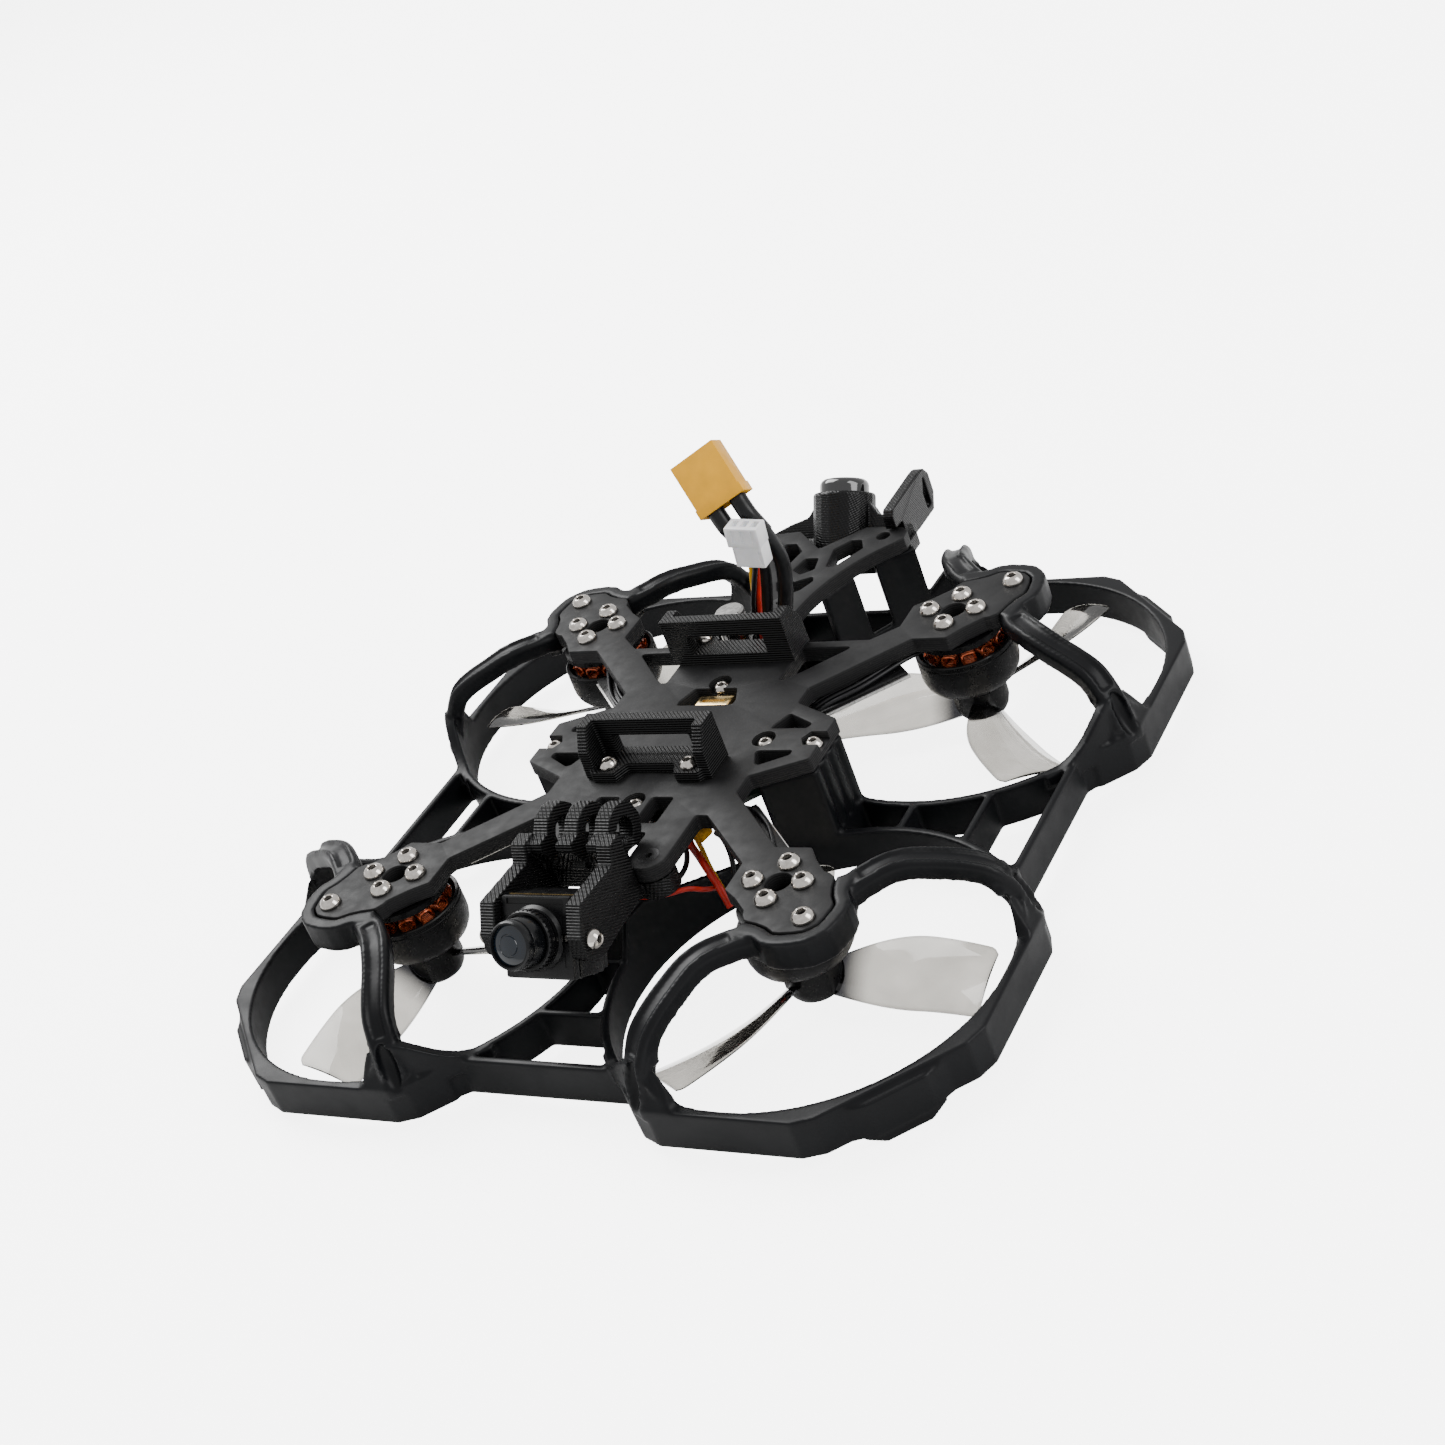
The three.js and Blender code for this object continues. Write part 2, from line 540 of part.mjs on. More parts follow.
// The bell is a bowl with its shaft, which ends just inside the stator's bearing tube.
function motorBell() {
  const floor = BELL_BOTTOM + 1.6;
  return turned([
    [0, BELL_BOTTOM], [5.6, BELL_BOTTOM], [8.1, BELL_BOTTOM + 1.2], [BELL_RADIUS, BELL_BOTTOM + 3.6],
    [BELL_RADIUS, BELL_TOP], [8.4, BELL_TOP], [8.4, BELL_BOTTOM + 3.8], [7.6, floor + 0.8], [5.4, floor],
    [SHAFT_RADIUS, floor], [SHAFT_RADIUS, SHAFT_TOP], [0, SHAFT_TOP],
  ], 24);
}

// A blade maps a flat slab: u runs from hub to tip, v across the chord, w through the thickness.
function bladePoint(u, v, w) {
  const radius = 3.4 + (PROP_RADIUS - 3.4) * u;
  const tipTaper = 3 * (5 * Math.max(0, u - 0.8)) ** 2;
  const chord = 6 + 7.2 * Math.sin(Math.min(u * 1.7, 1) * Math.PI / 2) - tipTaper;
  const pitch = THREE.MathUtils.degToRad(38 - 24 * u);
  const sweep = 1.6 * Math.sin(Math.PI * u);
  const across = (v - 0.5) * chord;
  const camber = 0.55 * (1 - 4 * (v - 0.5) ** 2);
  const thick = (0.9 - 0.45 * u) * (1 - 2.4 * (v - 0.5) ** 2) * (w - 0.5);
  const rise = camber + thick;
  const [cos, sin] = [Math.cos(pitch), Math.sin(pitch)];
  return [radius, sweep + across * cos - rise * sin, across * sin + rise * cos];
}

function propeller(spin) {
  const blade = new THREE.BoxGeometry(1, 1, 1, 7, 2, 1);
  const position = blade.attributes.position;
  for (let i = 0; i < position.count; i += 1) {
    const [x, y, z] = bladePoint(position.getX(i) + 0.5, position.getY(i) + 0.5, position.getZ(i) + 0.5);
    position.setXYZ(i, x, y * spin, z);
  }
  if (spin < 0) flipTriangles(blade);
  blade.translate(0, 0, BLADE_HEIGHT);
  const hub = solid(turned([
    [0, 4.1], [4.1, 4.1], [HUB_RADIUS, 6.2], [HUB_RADIUS, BELL_BOTTOM - GAP], [0, BELL_BOTTOM - GAP],
  ], 18));
  const blades = Array.from({ length: PROP_BLADES }, (_, i) =>
    solid(blade.clone().rotateZ(i * 2 * Math.PI / PROP_BLADES)));
  return toGeometry(union(hub, blades));
}

const stator = motorStator();
const bell = motorBell();
const propellers = { 1: propeller(1), [-1]: propeller(-1) };
const padScrew = buttonScrew(2, 1.5, 0.9, 2.4);

for (const [corner, { side, end, prop }] of Object.entries(MOTORS)) {
  const motor = new THREE.Group();
  motor.position.set(side * MOTOR_XY, end * MOTOR_XY, 0);
  drone.add(motor);
  place(`motor_stator_${corner}`, stator, copper, motor);
  place(`motor_bell_${corner}`, bell, bellMetal, motor);
  const blades = place(`propeller_${corner}`, propellers[-side * end], smoke, motor);
  blades.rotation.z = THREE.MathUtils.degToRad(prop);
  const places = [0, 90, 180, 270].map((angle) => polar(PAD_BOLT_RADIUS, angle));
  places.push([side * GUARD_BOLT, end * GUARD_BOLT]);
  places.forEach(([x, y], i) => {
    const name = i < 4 ? `motor_screw_${corner}_${i + 1}` : `guard_screw_${corner}`;
    place(name, padScrew, steel, motor).position.set(x, y, PLATE_TOP + 0.1);
  });
}

for (const [name, side] of [['wing_screw_right', 1], ['wing_screw_left', -1]]) {
  place(name, buttonScrew(1.7, 1.3, 0.9, 8), steel).position.set(side * WING_BOLT, 0, PLATE_TOP - 1.5);
}

// ---------------------------------------------------------------- light strips under the arms

for (const [corner, { side, end }] of Object.entries(MOTORS)) {
  const strip = new THREE.Group();
  strip.position.set(side * 26.3, end * 21.2, 21.6);
  strip.rotation.z = side * end * Math.PI / 4;
  drone.add(strip);
  place(`light_strip_${corner}`, box(-9.5, 9.5, -2.4, 2.4, -0.7, 0.7), white, strip);
}

// ---------------------------------------------------------------- electronics

function flightController() {
  const half = 20.5;
  const corner = 3.2;
  const points = [[half, -corner], [half, corner], [corner, half], [-corner, half],
    [-half, corner], [-half, -corner], [-corner, -half], [corner, -half]];
  let pcb = prism(points, 18.4, 19.8);
  const parts = [box(-5.5, 5.5, -5, 5, 19.7, 21), box(-9, 9, -9, 9, 16.6, 18.5), box(3, 8, 6, 9, 19.7, 21.3)];
  pcb = union(pcb, parts);
  for (const [x, y] of [[STACK_BOLT, 0], [-STACK_BOLT, 0], [0, STACK_BOLT], [0, -STACK_BOLT]]) {
    const post = cylinder(x, y, 2, 17, POST_TOP, 12);
    pcb = cut(union(pcb, post), cylinder(x, y, 1.1, 15, 25, 8));
  }
  return pcb;
}

place('flight_controller', flightController(), board);
place('usb_port', cut(box(-2.7, 4.7, 11.1, 14.6, 20.1, 25), box(-2, 4, 10, 13, 22.8, 24.5)), gold);

const capacitor = place('capacitor', turned([
  [0, 0], [2.7, 0], [3, 0.4], [3, 13.6], [2.7, 14], [0, 14],
], 18), steel);
capacitor.position.set(-5.6, 36.2, 17);

// ---------------------------------------------------------------- battery lead

const CONNECTOR = { at: [-0.7, 39.1, 57.8], along: [-0.486, 0.341, 0.805], across: [0.853, 0.384, 0.352] };
const CONNECTOR_HALF_LENGTH = 5.6;

function connectorFrame() {
  const along = new THREE.Vector3(...CONNECTOR.along).normalize();
  const across = new THREE.Vector3(...CONNECTOR.across);
  across.addScaledVector(along, -across.dot(along)).normalize();
  const facing = new THREE.Vector3().crossVectors(across, along).normalize();
  return new THREE.Matrix4().makeBasis(across, along, facing).setPosition(...CONNECTOR.at);
}

function powerConnector() {
  const end = CONNECTOR_HALF_LENGTH;
  const shell = box(-5.1, 5.1, -end, end, -2.6, 2.6);
  const socket = box(-4, 4, end - 4, end + 1, -1.6, 1.6);
  return toGeometry(cut(shell, socket)).applyMatrix4(connectorFrame());
}

place('power_connector', powerConnector(), yellow);

const LEAD_RADIUS = 1.5;
const LEAD_ROUTES = {
  power_lead_left: [
    [-2.4, 22.6, 20.6], [-2.3, 27, 20.4], [-1.9, 31.5, 20.9], [-1.0, 34.9, 23.4],
    [1.2, 36.6, 28], [3.2, 37.3, 34], [4.3, 37.6, 40], [3.4, 36.4, 45.2], [1.7, 35.4, 49.2], [0.33, 35.92, 51.69],
  ],
  power_lead_right: [
    [3.4, 22.6, 20.6], [3.8, 27, 20.4], [4.3, 31.3, 20.8], [4.8, 34.9, 23.2],
    [5.6, 36.8, 28], [7.4, 38.0, 34], [8.3, 38.6, 40], [7.6, 37.8, 46], [6.1, 37.0, 50.9], [4.59, 37.84, 53.45],
  ],
};

function tube(route, radius, sides, steps) {
  const path = new THREE.CatmullRomCurve3(route.map((point) => new THREE.Vector3(...point)));
  const section = outline(arc(0, 0, radius, 0, 360 * (sides - 1) / sides, sides - 1));
  return weld(new THREE.ExtrudeGeometry(section, { steps, extrudePath: path, bevelEnabled: false }));
}

for (const [name, route] of Object.entries(LEAD_ROUTES)) {
  place(name, tube(route, LEAD_RADIUS, 8, 14), silicone);
}

const BALANCE_ROUTE = [
  [0.5, 22.4, 20.8], [0.8, 26.6, 20.6], [1.2, 30, 20.8], [1.8, 32.2, 23.9],
  [2.5, 32.6, 29], [3.6, 32.5, 34], [5, 32.5, 38.6], [6.3, 32.6, 42.7],
];
place('balance_lead', tube(BALANCE_ROUTE, 1.1, 8, 14), material(0xb8402c, 0.5));
const plug = place('balance_plug', box(-3.7, 3.7, -2.1, 2.1, 0, 9.6), white);
plug.position.set(6.6, 32.5, 43.1);
plug.rotation.y = THREE.MathUtils.degToRad(6);

// ---------------------------------------------------------------- antenna

const ANTENNA_TILT = 37;
const antenna = new THREE.Matrix4()
  .makeRotationX(-THREE.MathUtils.degToRad(ANTENNA_TILT))
  .setPosition(0, 74.8, 22.6);

function antennaMount() {
  const under = PLATE_BOTTOM - GAP;
  let mount = union(box(-16, 16.6, 70.6, 74.8, under - 3, under), box(-11, 11, 64, 74.8, under - 3, under));
  const web = [
    [-16, -1.5], [16, -1.5], [16, 1.6], [12, 3.2], [8, 4.4],
    [6, 7], [-6, 7], [-8, 4.4], [-12, 3.2], [-16, 1.6],
  ];
  const webSlab = new THREE.ExtrudeGeometry(outline(web), { depth: 2.3, bevelEnabled: false });
  webSlab.rotateX(Math.PI / 2).translate(0, 1.15, 0).applyMatrix4(antenna);
  const sleeve = new THREE.CylinderGeometry(6, 6, 24, 20);
  const sleeveSpace = solid(sleeve.rotateX(Math.PI / 2).applyMatrix4(antenna));
  mount = cut(union(mount, solid(webSlab)), sleeveSpace);
  mount = cut(mount, prism([[-9, 60], [9, 60], [5, 68.5], [-5, 68.5]], 10, under + 1));
  const arm = [[72.6, 21.6], [86, 21.5], [88, 24.5], [88, 28.8], [86.6, 30.6], [84, 31], [72.6, 27.2]];
  const slot = sidePrism([[83.6, 23], [85.6, 23], [85.6, 29.4], [83.6, 29.4]], 12, 18);
  return union(mount, cut(sidePrism(arm, 13, 15.5), slot));
}

function antennaTube() {
  const profile = [[0, -2.5], [6.4, -2.5], [6.4, 8.4], [6.1, 8.9], [5.4, 8.9], [5.4, 3], [0, 3]];
  return solid(turned(profile, 20).applyMatrix4(antenna));
}

const deckEdge = [[-20, 40], [20, 40], [20, 72.2], [7.9, 72.2], [0, 64.8], [-7.9, 72.2], [-20, 72.2]];
const deckSpace = prism(deckEdge, POST_TOP, PLATE_TOP + GAP);
place('antenna_mount', cut(union(antennaMount(), antennaTube()), deckSpace), printedBlack);
const cap = turned([[0, 3.4], [5, 3.4], [5, 10.8], [4.6, 11.6], [3.9, 11.9], [0, 11.9]], 20);
place('antenna_cap', cap.applyMatrix4(antenna), glossBlack);

export default group;
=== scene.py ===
"""Looks of a small ducted FPV drone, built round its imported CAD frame. Lengths are in metres."""

import json
import math
import random

import bmesh
import bpy
import numpy as np
from mathutils import Euler, Matrix, Vector
from mathutils.geometry import delaunay_2d_cdt


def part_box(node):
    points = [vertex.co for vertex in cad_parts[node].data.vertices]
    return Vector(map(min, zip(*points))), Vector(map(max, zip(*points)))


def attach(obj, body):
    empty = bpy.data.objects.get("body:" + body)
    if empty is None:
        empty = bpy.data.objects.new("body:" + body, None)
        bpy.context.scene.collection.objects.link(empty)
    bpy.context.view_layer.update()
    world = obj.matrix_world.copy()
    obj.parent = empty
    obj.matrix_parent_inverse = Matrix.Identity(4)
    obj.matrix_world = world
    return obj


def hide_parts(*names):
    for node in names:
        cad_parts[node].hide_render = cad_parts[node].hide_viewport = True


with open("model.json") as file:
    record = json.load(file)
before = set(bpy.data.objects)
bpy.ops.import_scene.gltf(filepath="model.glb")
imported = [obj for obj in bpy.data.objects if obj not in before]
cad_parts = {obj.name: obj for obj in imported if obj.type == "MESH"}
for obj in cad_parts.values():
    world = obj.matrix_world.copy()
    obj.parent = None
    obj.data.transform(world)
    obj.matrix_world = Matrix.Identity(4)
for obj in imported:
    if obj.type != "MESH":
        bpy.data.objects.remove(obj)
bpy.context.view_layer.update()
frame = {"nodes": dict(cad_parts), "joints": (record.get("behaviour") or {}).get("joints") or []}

MM = 0.001
CORNERS = {"front_right": (1, -1), "front_left": (-1, -1), "rear_right": (1, 1), "rear_left": (-1, 1)}


def middle(node):
    """The middle of a node's box."""
    low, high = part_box(node)
    return (low + high) / 2


HUB_Y = (middle("motor_bell_front_right").y + middle("motor_bell_rear_right").y) / 2


def at(x, y, z):
    """A place given in millimetres from the middle of the four motors, as a point of the frame."""
    return Vector((x * MM, y * MM + HUB_Y, z * MM))


def turned(degrees, axis):
    return Matrix.Rotation(math.radians(degrees), 4, axis)


MOTOR_AXES = {corner: middle(f"motor_bell_{corner}").xy for corner in CORNERS}
MOTOR_XY = middle("motor_bell_rear_right").x / MM
PLATE_BOTTOM, PLATE_TOP = (corner.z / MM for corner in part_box("main_plate"))
TILT = next(joint for joint in frame["joints"] if joint["name"] == "camera_tilt")
LENS_LIFT = 1.0 * MM
CAMERA_FRAME = Matrix.Translation(TILT["pos_m"]) @ turned(60, "X") @ Matrix.Translation((0, 0, LENS_LIFT))


# ---------------------------------------------------------------- camera and studio

VIEW_PLACE = (0.24253, -0.30945, 0.24438)
VIEW_TURN = (58.9091, 18.6932, 26.4087)
VIEW_LENS = 61.44


def make_camera():
    data = bpy.data.cameras.new("camera")
    data.lens = VIEW_LENS
    data.sensor_width = 36.0
    data.clip_start = 0.01
    data.clip_end = 20.0
    camera = bpy.data.objects.new("camera", data)
    bpy.context.scene.collection.objects.link(camera)
    turn = Euler([math.radians(angle) for angle in VIEW_TURN]).to_matrix().to_4x4()
    camera.matrix_world = Matrix.Translation(VIEW_PLACE) @ turn
    bpy.context.scene.camera = camera


def area_light(name, place, size, power):
    """A soft light that points at the middle of the frame."""
    data = bpy.data.lights.new(name, "AREA")
    data.shape = "RECTANGLE"
    data.size, data.size_y = size
    data.energy = power
    light = bpy.data.objects.new(name, data)
    bpy.context.scene.collection.objects.link(light)
    light.location = place
    light.rotation_mode = "QUATERNION"
    light.rotation_quaternion = (-Vector(place)).to_track_quat("-Z", "Y")


# ---------------------------------------------------------------- mesh helpers

def new_object(name, data, material, replaces=None, body="airframe"):
    """A piece with its material, the node that it stands for and the body that it rides on."""
    piece = bpy.data.objects.new(name, data)
    bpy.context.scene.collection.objects.link(piece)
    data.materials.clear()
    data.materials.append(material)
    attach(piece, body)
    if replaces:
        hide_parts(replaces)
    return piece


def shaped(mesh, sharp=35):
    """Smooth shading with creases where faces meet at more than this many degrees."""
    mesh.shade_smooth()
    mesh.set_sharp_from_angle(angle=math.radians(sharp))
    return mesh


def mesh_of(bm, sharp=35):
    """The finished mesh of a bmesh, with its faces turned outwards."""
    mesh = bpy.data.meshes.new("mesh")
    bmesh.ops.recalc_face_normals(bm, faces=bm.faces)
    bm.to_mesh(mesh)
    bm.free()
    return shaped(mesh, sharp)


def modified(mesh, steps, sharp=35):
    """The mesh after a list of modifiers, each a kind and its settings."""
    carrier = bpy.data.objects.new("carrier", mesh)
    bpy.context.scene.collection.objects.link(carrier)
    for kind, settings in steps:
        modifier = carrier.modifiers.new(kind, kind)
        for key, value in settings.items():
            setattr(modifier, key, value)
    graph = bpy.context.evaluated_depsgraph_get()
    result = bpy.data.meshes.new_from_object(carrier.evaluated_get(graph))
    bpy.data.objects.remove(carrier)
    return shaped(result, sharp)


def combined(base, tools, operation="UNION", sharp=35):
    """Joins closed meshes to the base one after another, or cuts them from it."""
    for tool in tools:
        other = bpy.data.objects.new("tool", tool)
        bpy.context.scene.collection.objects.link(other)
        settings = {"operation": operation, "solver": "MANIFOLD", "object": other}
        base = modified(base, [("BOOLEAN", settings)], sharp)
        bpy.data.objects.remove(other)
    return base


def cut(base, tools, sharp=35):
    return combined(base, tools, "DIFFERENCE", sharp)


def bevelled(mesh, width, segments=2):
    settings = {"width": width, "segments": segments, "limit_method": "ANGLE",
                "angle_limit": math.radians(30), "miter_outer": "MITER_ARC", "harden_normals": False}
    return modified(mesh, [("BEVEL", settings)])


def softened(mesh, voxel, rounds):
    """The mesh as one skin of small quads, with its edges rounded as a mould or a printer leaves them."""
    remesh = ("REMESH", {"mode": "VOXEL", "voxel_size": voxel})
    smooth = ("SMOOTH", {"factor": 0.5, "iterations": rounds})
    return modified(mesh, [remesh, smooth], 60)


def cad_mesh(node):
    """A copy of a CAD node's mesh with its corners merged."""
    bm = bmesh.new()
    bm.from_mesh(frame["nodes"][node].data)
    bmesh.ops.remove_doubles(bm, verts=bm.verts, dist=1e-6)
    return mesh_of(bm, 30)


def lathe(profile, segments=48, placed=Matrix(), sharp=35):
    """A turned solid: (radius, height) pairs in millimetres that start and end on the axis or close."""
    bm = bmesh.new()
    closed = profile[0] == profile[-1]
    rings = []
    for radius, height in profile[:-1] if closed else profile:
        if radius == 0:
            rings.append([bm.verts.new((0, 0, height * MM))])
            continue
        turns = [2 * math.pi * i / segments for i in range(segments)]
        rings.append([bm.verts.new((radius * MM * math.cos(a), radius * MM * math.sin(a), height * MM))
                      for a in turns])
    pairs = list(zip(rings, rings[1:])) + ([(rings[-1], rings[0])] if closed else [])
    for low, high in pairs:
        for i in range(segments):
            j = (i + 1) % segments
            corners = [low[i % len(low)], low[j % len(low)], high[j % len(high)], high[i % len(high)]]
            corners = list(dict.fromkeys(corners))
            if len(corners) > 2:
                bm.faces.new(corners)
    bmesh.ops.transform(bm, matrix=placed, verts=bm.verts)
    return mesh_of(bm, sharp)


def prism(points, bottom, top, placed=Matrix(), chamfer=0.0):
    """A block with the given outline in millimetres, with an optional chamfer round both faces."""
    bm = bmesh.new()
    low = [bm.verts.new((x * MM, y * MM, bottom * MM)) for x, y in points]
    high = [bm.verts.new((x * MM, y * MM, top * MM)) for x, y in points]
    bm.faces.new(low)
    bm.faces.new(high)
    for i in range(len(points)):
        j = (i + 1) % len(points)
        bm.faces.new((low[i], low[j], high[j], high[i]))
    bmesh.ops.transform(bm, matrix=placed, verts=bm.verts)
    mesh = mesh_of(bm)
    return bevelled(mesh, chamfer * MM) if chamfer else mesh


def block(size, centre, placed=Matrix(), chamfer=0.0):
    """A rectangular block given by its size and middle in millimetres."""
    (a, b, c), (x, y, z) = size, centre
    outline = [(x - a / 2, y - b / 2), (x + a / 2, y - b / 2), (x + a / 2, y + b / 2), (x - a / 2, y + b / 2)]
    return prism(outline, z - c / 2, z + c / 2, placed, chamfer)


def circle(x, y, radius, sides):
    turns = [2 * math.pi * i / sides for i in range(sides)]
    return [(x + radius * math.cos(a), y + radius * math.sin(a)) for a in turns]


def joined(meshes, sharp=35):
    """Several meshes as one mesh of separate shells."""
    bm = bmesh.new()
    for mesh in meshes:
        bm.from_mesh(mesh)
    return mesh_of(bm, sharp)


def smooth_route(points, steps=8):
    """Points of a smooth curve through the given points."""
    ends = [points[0] * 2 - points[1], *points, points[-1] * 2 - points[-2]]
    route = []
    for a, b, c, d in zip(ends, ends[1:], ends[2:], ends[3:]):
        for i in range(steps):
            t = i / steps
            route.append(0.5 * (2 * b + (c - a) * t + (2 * a - 5 * b + 4 * c - d) * t * t
                                + (3 * b - a - 3 * c + d) * t ** 3))
    return route + [points[-1]]


def new_wire(name, points, radius, material, replaces=None):
    """A round wire as a curve of one open spline."""
    curve = bpy.data.curves.new(name, "CURVE")
    curve.dimensions = "3D"
    curve.bevel_depth = radius
    curve.bevel_resolution = 5
    curve.use_fill_caps = True
    spline = curve.splines.new("POLY")
    spline.points.add(len(points) - 1)
    for point, place in zip(spline.points, points):
        point.co = (*place, 1)
    return new_object(name, curve, material, replaces)


def ellipsoid(centre, axis, radii):
    """An ellipsoid, its radii in millimetres, with its third radius along the axis."""
    bm = bmesh.new()
    bmesh.ops.create_uvsphere(bm, u_segments=24, v_segments=16, radius=1)
    size = Matrix.Diagonal((*(r * MM for r in radii), 1))
    turn = axis.to_track_quat("Z", "Y").to_matrix().to_4x4()
    bmesh.ops.transform(bm, matrix=Matrix.Translation(centre) @ turn @ size, verts=bm.verts)
    return mesh_of(bm)


def swept(points, section, up=Vector((0, 0, 1))):
    """A closed solid that carries a (side, up) outline, in metres, along a route."""
    bm = bmesh.new()
    rings = []
    for i, place in enumerate(points):
        ahead = (points[min(i + 1, len(points) - 1)] - points[max(i - 1, 0)]).normalized()
        side = ahead.cross(up).normalized()
        lift = side.cross(ahead)
        rings.append([bm.verts.new(place + side * u + lift * v) for u, v in section])
    for low, high in zip(rings, rings[1:]):
        for i in range(len(section)):
            j = (i + 1) % len(section)
            bm.faces.new((low[i], low[j], high[j], high[i]))
    bm.faces.new(rings[0])
    bm.faces.new(rings[-1])
    return mesh_of(bm, 50)


# ---------------------------------------------------------------- material helpers

class Look:
    """A node material with one principled shader, with short ways to add nodes to it."""

    def __init__(self, name):
        self.material = bpy.data.materials.new(name)
        self.material.use_nodes = True
        self.tree = self.material.node_tree
        self.shader = self.tree.nodes["Principled BSDF"]

    def node(self, kind, inputs=(), **settings):
        made = self.tree.nodes.new(kind)
        for key, value in settings.items():
            setattr(made, key, value)
        for key, value in dict(inputs).items():
            self.feed(made.inputs[key], value)
        return made

    def feed(self, socket, value):
        if isinstance(value, bpy.types.NodeSocket):
            self.tree.links.new(value, socket)
        else:
            socket.default_value = value

    def set(self, **values):
        for key, value in values.items():
            self.feed(self.shader.inputs[key.replace("_", " ")], value)

    def place(self):
        return self.node("ShaderNodeNewGeometry").outputs["Position"]

    def noise(self, size, detail=2.0, roughness=0.5):
        """Noise whose features are about this many millimetres wide."""
        return self.node("ShaderNodeTexNoise", {
            "Vector": self.place(), "Scale": 1 / (size * MM), "Detail": detail,
            "Roughness": roughness}).outputs["Fac"]

    def ramp(self, factor, low, high, start=0.3, end=0.7):
        """Goes from low to high as the factor goes from start to end; colours or numbers."""
        number = not hasattr(low, "__len__")
        colors = [(v, v, v, 1) if number else (*v, 1) for v in (low, high)]
        made = self.node("ShaderNodeValToRGB", {"Fac": factor})
        for element, color, place in zip(made.color_ramp.elements, colors, (start, end)):
            element.position = place
            element.color = color
        return made.outputs["Color"]

    def math(self, operation, a, b=0.0):
        return self.node("ShaderNodeMath", {0: a, 1: b}, operation=operation).outputs[0]

    def blend(self, factor, a, b):
        """Mixes two colours; the node's colour sockets are its inputs 6 and 7 and its output 2."""
        made = self.node("ShaderNodeMix", data_type="RGBA")
        for i, value in ((0, factor), (6, a), (7, b)):
            self.feed(made.inputs[i], (*value, 1) if isinstance(value, tuple) else value)
        return made.outputs[2]

    def bump(self, height, depth, below=None):
        """A bump of this many millimetres, laid on top of another one."""
        made = self.node("ShaderNodeBump", {"Height": height, "Strength": 1.0, "Distance": depth * MM})
        if below is not None:
            self.feed(made.inputs["Normal"], below)
        return made.outputs["Normal"]

    def waves(self, direction, pitch):
        """Straight ridges across a direction, one every pitch millimetres, as a number from 0 to 1."""
        along = self.node("ShaderNodeVectorMath", {0: self.place(), 1: direction}, operation="DOT_PRODUCT")
        turns = self.math("MULTIPLY", along.outputs["Value"], 2 * math.pi / (pitch * MM))
        return self.math("MULTIPLY_ADD", self.math("SINE", turns), 0.5)

    def facing(self, direction):
        """How squarely the surface faces along or against a direction, from 0 to 1."""
        normal = self.node("ShaderNodeNewGeometry").outputs["Normal"]
        along = self.node("ShaderNodeVectorMath", {0: normal, 1: direction}, operation="DOT_PRODUCT")
        return self.math("ABSOLUTE", along.outputs["Value"])


def painted_edge_highlight(look, color, highlight_color, amount):
    """Lightens the sharp edges in patches, as a painted highlight."""
    point = look.node("ShaderNodeNewGeometry").outputs["Pointiness"]
    # Mask of the painted highlight: sharp convex edges, broken up by noise.
    highlight_mask = look.math("MULTIPLY", look.ramp(point, 0.0, 1.0, 0.52, 0.62), look.noise(3, 3))
    return look.blend(look.math("MULTIPLY", highlight_mask, amount), color, highlight_color)


def moulded_look(name, dark, light):
    """Moulded plastic with a slightly wavy skin and a painted highlight on its edges."""
    look = Look(name)
    color = look.ramp(look.noise(14, 4, 0.6), dark, light)
    # Painted highlight: the sharp edges get a lighter colour.
    color = painted_edge_highlight(look, color, tuple(min(1, c * 2.6 + 0.01) for c in light), 0.8)
    roughness = look.ramp(look.noise(5, 3), 0.30, 0.44)
    fine = look.bump(look.noise(0.16, 2), 0.004)
    wave = look.bump(look.noise(9, 1), 0.03, fine)
    look.set(Base_Color=color, Roughness=roughness, Normal=wave, Specular_IOR_Level=0.17)
    return look.material


def plate_look(name):
    """Satin composite sheet: fine grain on its faces, thin plies along its edges and a painted highlight on
    its sharp edges.
    """
    look = Look(name)
    color = look.ramp(look.noise(11, 4, 0.6), (0.0065, 0.0065, 0.0069), (0.0092, 0.0092, 0.0096))
    plies = look.waves((0, 0, 1), 0.42)
    edge = look.math("LESS_THAN", look.facing((0, 0, 1)), 0.5)
    color = look.blend(look.math("MULTIPLY", edge, plies), color, (0.017, 0.017, 0.0175))
    # Painted highlight: a lighter colour on the sheet's sharp edges.
    color = painted_edge_highlight(look, color, (0.04, 0.04, 0.041), 0.4)
    grain = look.bump(look.noise(0.12, 3, 0.7), 0.006)
    ply_bump = look.bump(look.math("MULTIPLY", edge, plies), 0.03, grain)
    look.set(Base_Color=color, Roughness=look.ramp(look.noise(2.4, 3), 0.44, 0.58), Normal=ply_bump,
             Specular_IOR_Level=0.2)
    return look.material


def printed_look(name, layers, pitch, across, cross_pitch, shine=(0.3, 0.55), depth=0.16):
    """Printed plastic: a ridge for each layer, and the strokes of the nozzle on the faces between, with a
    painted highlight on the raised parts.
    """
    look = Look(name)
    ridge = look.waves(layers, pitch)
    steep = look.math("SUBTRACT", 1.0, look.math("POWER", look.facing(layers), 3.0))
    height = look.math("MULTIPLY", ridge, steep)
    stroke = look.math("MULTIPLY", look.waves(across, cross_pitch), look.facing(layers))
    height = look.math("ADD", height, stroke)
    wobble = look.noise(0.5, 3, 0.7)
    ridges = look.bump(height, depth)
    rough = look.bump(wobble, 0.04, ridges)
    # Painted highlight: the raised ridges and strokes get a lighter colour.
    painted_ridge_glint = look.math("MULTIPLY", height, wobble)
    color = look.blend(painted_ridge_glint, (0.0015, 0.0015, 0.0017), (0.008, 0.008, 0.0085))
    look.set(Base_Color=color, Roughness=look.ramp(wobble, *shine), Normal=rough,
             Specular_IOR_Level=0.24)
    return look.material


